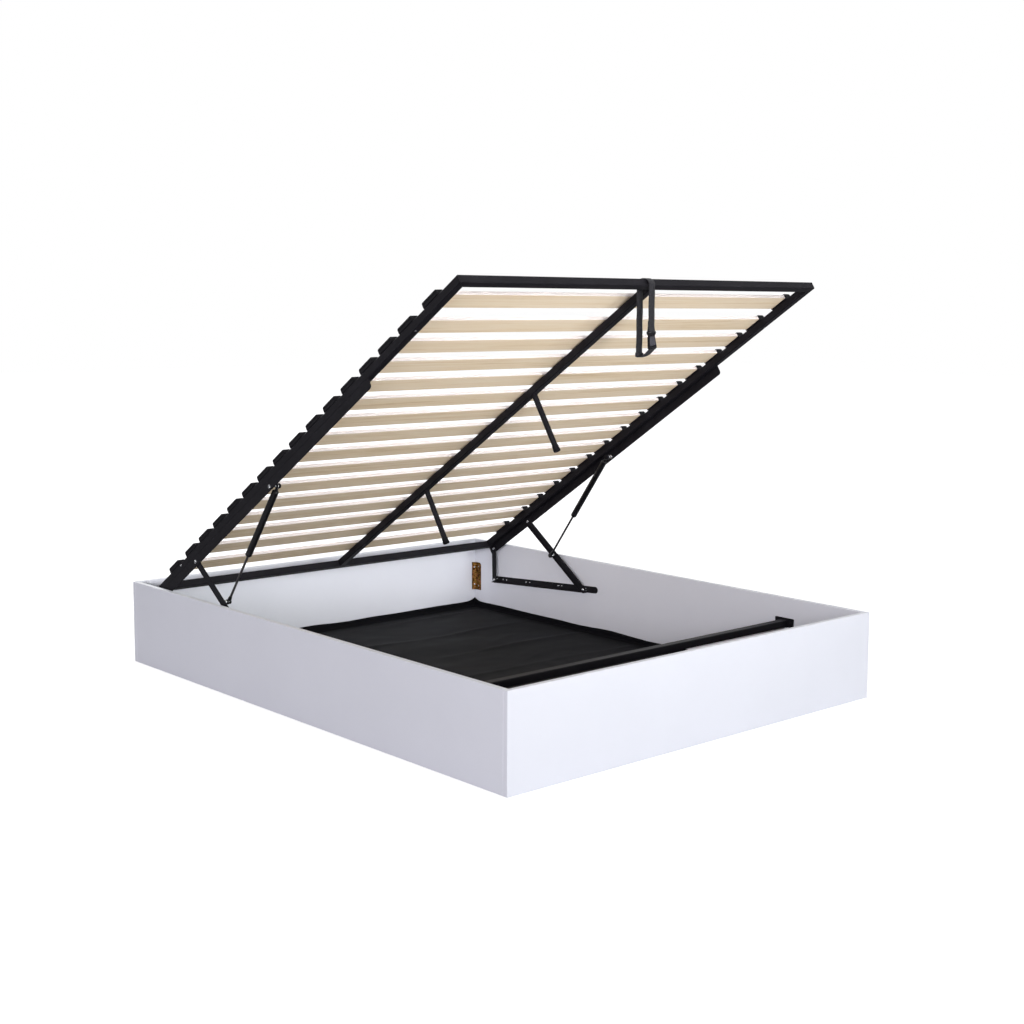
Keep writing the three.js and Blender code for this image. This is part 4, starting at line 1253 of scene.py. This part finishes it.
def strapLine():
    # The webbing's middle line: X from the strap's own middle, then Y and Z about the foot tube
    deep, high = strap["eyeDepth"], strap["eyeHeight"]
    front, back = strap["skew"], -strap["skew"]
    topBar = -buckle["top"] - buckle["bar"] / 2
    bottomBar = -buckle["bottom"] + buckle["bar"] / 2
    around = buckle["bar"] / 2 + strap["thickness"] / 2 + 0.2
    leaned = front + math.sin(math.radians(buckle["bodyLean"])) * buckle["mouth"]
    line = [(front, -deep + 1.7, topBar + strap["tail"]), (front, -deep + 1.8, topBar + 16)]
    line += [(front, y - deep, z + topBar) for y, z in arcPoints(0, 0, around + 0.7, 0, -180, 8)]
    line += [(front, -deep - 1.2, topBar + 9), (front, -deep - 0.1, topBar + 20)]
    line += [(front, -deep + 0.5 * math.sin(z / 13), z) for z in (-104, -86, -68, -50, -32, -14)]
    for i in range(25):
        turn = math.pi * (1 - i / 24)
        share = (1 - math.cos(math.pi * i / 24)) / 2
        line.append((front + (back - front) * share, deep * math.cos(turn), high * math.sin(turn)))
    line += [(back, deep + 0.8 * math.sin(i * 1.7), -20 - i * 21) for i in range(1, 9)]
    fold = strap["fold"]
    line += [(back, y, z) for y, z in arcPoints(deep - fold, -strap["drop"] + fold, fold, 0, -125, 8)]
    foldEnd, barStart = Vector(line[-1]), Vector((leaned, -deep + around, bottomBar - 4))
    line += [
        tuple(foldEnd.lerp(barStart, share) - Vector((0, 0, strap["sag"] * math.sin(math.pi * share))))
        for share in (0.2, 0.4, 0.6, 0.8)
    ]
    line.append(tuple(barStart))
    line += [(leaned, y - deep, z + bottomBar) for y, z in arcPoints(0, 0, around, 0, -190, 8)]
    line += [(leaned, -deep, bottomBar + around + 1.2), (leaned, -deep + 1.6, bottomBar + around + 1.6)]
    return line


def mapWeave(bm, spotOf):
    # The UV map "weave" in metres, from each point's place across and along the webbing
    uv = bm.loops.layers.uv.new("weave")
    for face in bm.faces:
        for loop in face.loops:
            loop[uv].uv = spotOf(loop.vert)


def makeStrap():
    bm = bmesh.new()
    across = bm.verts.layers.float.new("across")
    along = bm.verts.layers.float.new("along")
    half = strap["width"] / 2
    columns = 6
    line = [Vector(point) for point in strapLine()]
    row = []
    for k in range(columns + 1):
        offset = -half + strap["width"] * k / columns
        row.append(bm.verts.new(line[0] + Vector((strap["offCentre"] + offset, 0, 0))))
        row[-1][across] = offset / 1000
    edges = [bm.edges.new(pair) for pair in zip(row, row[1:])]
    travelled = 0
    for before, after in zip(line, line[1:]):
        travelled += (after - before).length
        grown = bmesh.ops.extrude_edge_only(bm, edges=edges)["geom"]
        row = [part for part in grown if isinstance(part, bmesh.types.BMVert)]
        edges = [part for part in grown if isinstance(part, bmesh.types.BMEdge)]
        bmesh.ops.translate(bm, verts=row, vec=after - before)
        for vert in row:
            vert[along] = travelled / 1000
    bmesh.ops.recalc_face_normals(bm, faces=bm.faces)
    mapWeave(bm, lambda vert: (vert[across], vert[along]))
    piece = addPiece("pullStrap", bm, strapPlace, "strap", "webbing", weighted=False)
    thick = piece.modifiers.new("thickness", "SOLIDIFY")
    thick.thickness = strap["thickness"] / 1000
    thick.offset = 0
    # The hem, where the back run is folded twice and stitched
    middleX = strap["offCentre"] - strap["skew"] - strap["hemAside"]
    deep, low = strap["eyeDepth"] - strap["hemForward"], -strap["drop"] + strap["hemRise"]
    wide, thickness = strap["hemWidth"] / 2, strap["hemThickness"] / 2
    hem = block(
        (middleX - wide, deep - thickness, low), (middleX + wide, deep + thickness, low + strap["hemHeight"]),
        strap["hemEdge"], 4,
    )
    mapWeave(hem, lambda vert: (vert.co.x / 1000, (vert.co.z - vert.co.y) / 1000))
    addPiece("strapHem", hem, strapPlace, "strap", "webbing")


# The buckle's tongue has a bar, shoulders with grips and a stem; its body has a raised face and a bar

def mirroredOutline(half):
    return [*half, *[(-x, z) for x, z in reversed(half)]]


def makeBuckle():
    plan = buckle
    length = plan["bottom"] - plan["top"]
    mouth = -length + plan["mouth"]
    hang = Matrix.Translation((strap["offCentre"] + strap["skew"], -strap["eyeDepth"], -plan["top"]))
    tongueLean = hang @ Matrix.Rotation(-math.radians(plan["tongueLean"]), 4, "Y")
    bodyLean = (
        hang @ Matrix.Translation((0, 0, mouth)) @ Matrix.Rotation(-math.radians(plan["bodyLean"]), 4, "Y")
        @ Matrix.Translation((0, 0, -mouth))
    )
    slotHalf = strap["width"] / 2 + 0.5
    shoulder, drop, crown, waist = plan["shoulder"], -plan["shoulderDrop"], plan["crownTop"], plan["waist"]
    outline = mirroredOutline([
        (crown - 1.2, 0), (crown, -1.2), (shoulder - 0.6, drop + 2.2), (shoulder, drop + 0.6),
        (shoulder - 0.5, drop - 2), (waist + 0.6, mouth + 2), (waist - 1, mouth - 6),
    ])
    slot = roundedRectangle(-slotHalf + 0.9, slotHalf - 0.9, -plan["bar"] - plan["slot"], -plan["bar"], 1.6)
    half = plan["tongueThickness"] / 2
    tongue = plate([outline, slot], -half, half, acrossY, plan["edge"], 3)
    grips = []
    for x in (3.4 - shoulder, shoulder - 3.4):
        for z in (drop - 3.4, drop - 1.8, drop - 0.2):
            grip = roundedRectangle(x - 1.6, x + 1.6, z - 0.5, z + 0.5, 0.4)
            grips.append(plate([grip], -half - 0.5, half + 0.5, acrossY, 0.2))
    tongue = merged(tongue, *grips)
    tongue.transform(tongueLean)
    addPiece("buckleTongue", tongue, strapPlace, "strap", "black_plastic")
    hip, floor = plan["hip"], -length
    outline = mirroredOutline([
        (waist - 0.4, mouth + 1.5), (waist + 0.8, mouth), (waist + 1.2, mouth - 4),
        (hip - 0.4, floor + 9), (hip, floor + 5), (hip - 0.2, floor + 1.4), (hip - 1.4, floor),
    ])
    bottomSlot = roundedRectangle(
        -slotHalf + 0.9, slotHalf - 0.9, floor + plan["bar"], floor + plan["bar"] + plan["slot"] - 1.2, 1.4,
    )
    half = plan["bodyThickness"] / 2
    body = plate([outline, bottomSlot], -half + 1.2, half - 1.2, acrossY, plan["edge"], 3)
    face = mirroredOutline([
        (waist - 2.2, mouth + 0.8), (waist - 1.6, mouth - 3), (hip - 3.2, floor + 11.5),
        (hip - 4.2, floor + 9.8),
    ])
    panel = plate([face], -half, half, acrossY, 0.9, 3)
    ridge = plate(
        [[(2.6, mouth - 1.5), (hip - 7, floor + 12.5), (-hip + 7, floor + 12.5), (-2.6, mouth - 1.5)]],
        -half - 0.5, half + 0.5, acrossY, 0.45,
    )
    face = merged(panel, ridge)
    # The raised face wears the lighter acetal, a painted highlight on the buckle's body
    for name, shape, material in (("buckleBody", body, None), ("buckleFace", face, buckleHighlightFinish)):
        shape.transform(bodyLean)
        addPiece(name, shape, strapPlace, "strap", "black_plastic", material=material)


makeStrap()
makeBuckle()
print("strap and buckle made")


# Fabric liner

liner = {
    "rim": 26, "rimChange": 8, "rimLean": 1.5, "cornerRise": 12, "cornerReach": 45, "thickness": 0.9,
    "seatGap": 0.8, "cells": (150, 200), "lie": 1.2, "wave": 6.5, "ripple": 1.1, "seed": 4.0,
    "flatEdge": 60, "edgeLeast": 0.15,
    "foldPitch": 291, "foldFrom": 346, "foldHeight": 8.5, "foldWidth": 22, "foldWander": 26,
    "foldSkew": 0.03, "foldShare": 0.55, "foldVaries": 0.9,
    "crossFold": 6.0, "crossPitch": 260, "crossSkew": 0.42, "crossSharp": 15,
    "legMarks": (345, -343), "pressed": 90,
}


def drift(u, v, w):
    return noise.noise(Vector((u, v, w)))


def linerHeight(x, y):
    # Fold lines from its packing run across the bed as soft ridges, and between them it swells a little
    seed = liner["seed"]
    wander = liner["foldWander"] * drift(x / 480, y / 700, seed) + x * liner["foldSkew"]
    lines = (y + wander - liner["foldFrom"]) / liner["foldPitch"]
    nearest = round(lines)
    away = abs(lines - nearest) * liner["foldPitch"]
    strength = liner["foldShare"] + liner["foldVaries"] * drift(x / 360, nearest * 5.3, seed + 3)
    ridge = liner["foldHeight"] * max(0.0, strength) * math.exp(-away / liner["foldWidth"])
    pitch, skewed = liner["crossPitch"], y - liner["crossSkew"] * x
    slant = (skewed - pitch * round(skewed / pitch)) / pitch
    patch = max(0.0, drift(x / 240, y / 260, seed + 11))
    minor = liner["crossFold"] * patch * math.exp(-abs(slant) * liner["crossSharp"])
    swell = liner["wave"] * max(0.0, drift(x / 420 + 3, y / 230, seed + 7) + 0.2)
    ripple = liner["ripple"] * (drift(x / 75, y / 60, seed + 33) + 0.6)
    # The feet of the shut platform's legs press it flat
    fromLeg = min(math.hypot(x, y - mark) for mark in liner["legMarks"])
    return liner["lie"] + (swell + ridge + minor + ripple) * min(1.0, fromLeg / liner["pressed"]) ** 2


def makeLiner():
    low, high = cornersOf("floor_liner")
    halfX, halfY = high.x - liner["seatGap"], high.y - liner["seatGap"]
    rim = liner["rim"]
    flatX, flatY = halfX + rim, halfY + rim
    bm = bmesh.new()
    bmesh.ops.create_grid(bm, x_segments=liner["cells"][0], y_segments=liner["cells"][1], size=1)
    for vert in bm.verts:
        flat = Vector((vert.co.x * flatX, vert.co.y * flatY))
        place, rise = Vector(flat), 0.0
        for axis, limit in ((0, halfX), (1, halfY)):
            beyond = abs(flat[axis]) - limit
            if beyond > 0:
                place[axis] = math.copysign(limit, flat[axis])
                rise = max(rise, beyond)
        inside = min(1.0, min(halfX - abs(place.x), halfY - abs(place.y)) / liner["flatEdge"])
        height = linerHeight(place.x, place.y) * max(liner["edgeLeast"], inside)
        if rise:
            around = place.x + place.y
            uneven = liner["rimChange"] * drift(around / 210, liner["seed"], 2)
            nearCorner = max(0.0, 1 - max(halfX - abs(place.x), halfY - abs(place.y)) / liner["cornerReach"])
            height += rise * (1 + (uneven + liner["cornerRise"] * nearCorner ** 2) / rim)
            lean = liner["rimLean"] * (drift(around / 90, 5, rise / 20) + 0.6)
            place.x -= math.copysign(lean, place.x) if abs(flat.x) > halfX else 0
            place.y -= math.copysign(lean, place.y) if abs(flat.y) > halfY else 0
        vert.co = (place.x, place.y, height)
    bmesh.ops.recalc_face_normals(bm, faces=bm.faces)
    piece = addPiece("floorLiner", bm, toMetres, "root", "liner_fabric", smooth=180, weighted=False)
    thick = piece.modifiers.new("thickness", "SOLIDIFY")
    thick.thickness = liner["thickness"] / 1000
    thick.offset = 1


makeLiner()
print("liner made")


# Floor, lamps and background

studio = {
    "floor": "#bcbcbf", "floorGlow": 0.72, "floorSize": 40, "floorSink": 0.0004, "ambient": 0.05,
    "shadowReach": 2.2, "fadeOut": 1.6, "acrossShare": 0.78,
    # What a lamp has where its own values don't say otherwise
    "lamp": {"aim": (0, 0, 0.4), "size": (6, 3.6), "colour": "#fdffff", "spread": 180},
    "lamps": {
        "front": {"place": (1.6, -19.5, 4.2), "power": 1840.0},
        "front right": {"place": (11, -16, 3.4), "power": 300.0},
        "left": {
            "place": (-10.8, -6.6, 2.8), "aim": (0, 0, 0.3), "size": (8, 2.6), "power": 930.0,
            "colour": "#fdfaff",
        },
        "behind": {"place": (3, 15, 5), "power": 420.0},
        "above": {
            "place": (0.4, 0.2, 6.5), "aim": (0, 0, 0), "size": (5, 5), "power": 165.0, "colour": "#ffffff",
        },
        "under the slats": {
            "place": (-1.6, -5.6, 1.0), "aim": (0.1, -0.4, 1.3), "size": (1.6, 0.8), "power": 4.9,
            "colour": "#ffffff", "spread": 28,
        },
    },
}


# The floor is pale round the bed and turns into the white background further out
def makeFloor():
    bm = bmesh.new()
    bmesh.ops.create_grid(bm, x_segments=1, y_segments=1, size=studio["floorSize"] / 2)
    bmesh.ops.translate(bm, vec=(0, 0, -studio["floorSink"]), verts=bm.verts)
    mesh = bpy.data.meshes.new("floor")
    bm.to_mesh(mesh)
    bm.free()
    floor = bpy.data.objects.new("floor", mesh)
    bpy.context.scene.collection.objects.link(floor)
    material, tree, shader = newMaterial("pale studio floor", {"Roughness": 0.9, "Specular IOR Level": 0.1})
    shader.inputs["Base Color"].default_value = linear(studio["floor"])
    place = objectPlace(tree, (1.0, studio["acrossShare"], 1.0))
    distance = addNode(tree, "ShaderNodeVectorMath", {"operation": "LENGTH"}, None, {0: place})
    fade = addNode(
        tree, "ShaderNodeMapRange", {"interpolation_type": "SMOOTHSTEP"},
        {
            "From Min": studio["shadowReach"] - studio["fadeOut"], "From Max": studio["shadowReach"],
            "To Min": studio["floorGlow"], "To Max": 1.0,
        },
        {"Value": distance.outputs["Value"]},
    )
    ray = addNode(tree, "ShaderNodeLightPath")
    seen = addNode(
        tree, "ShaderNodeMath", {"operation": "MULTIPLY"}, None,
        {0: ray.outputs["Is Camera Ray"], 1: fade.outputs["Result"]},
    )
    glow = addNode(tree, "ShaderNodeEmission", None, {"Color": (1, 1, 1, 1)}, {"Strength": seen.outputs[0]})
    addNode(
        tree, "ShaderNodeAddShader", None, None, {0: shader.outputs["BSDF"], 1: glow.outputs["Emission"]},
        tree.nodes["Material Output"].inputs["Surface"],
    )
    mesh.materials.append(material)


def makeStudio():
    world = bpy.data.worlds.new("studio")
    world.use_nodes = True
    bpy.context.scene.world = world
    tree = world.node_tree
    background = tree.nodes["Background"]
    background.inputs["Color"].default_value = (1, 1, 1, 1)
    ray = addNode(tree, "ShaderNodeLightPath")
    seen = ray.outputs["Is Camera Ray"]
    for other in ("Is Glossy Ray", "Is Transmission Ray"):
        seen = addNode(
            tree, "ShaderNodeMath", {"operation": "MAXIMUM"}, None, {0: seen, 1: ray.outputs[other]},
        ).outputs[0]
    addNode(
        tree, "ShaderNodeMapRange", None, {"To Min": studio["ambient"], "To Max": 1.0}, {"Value": seen},
        background.inputs["Strength"],
    )
    for name, own in studio["lamps"].items():
        plan = {**studio["lamp"], **own}
        lamp = bpy.data.lights.new(name, "AREA")
        lamp.shape = "RECTANGLE"
        lamp.size, lamp.size_y = plan["size"]
        lamp.energy = plan["power"]
        lamp.spread = math.radians(plan["spread"])
        lamp.color = linear(plan["colour"])[:3]
        stand = bpy.data.objects.new(name, lamp)
        stand.location = plan["place"]
        aim = Vector(plan["aim"]) - Vector(plan["place"])
        stand.rotation_euler = aim.to_track_quat("-Z", "Y").to_euler()
        bpy.context.scene.collection.objects.link(stand)
    bpy.context.scene.view_settings.view_transform = "Standard"


makeFloor()
makeStudio()
basicScrew.free()
print("studio made")
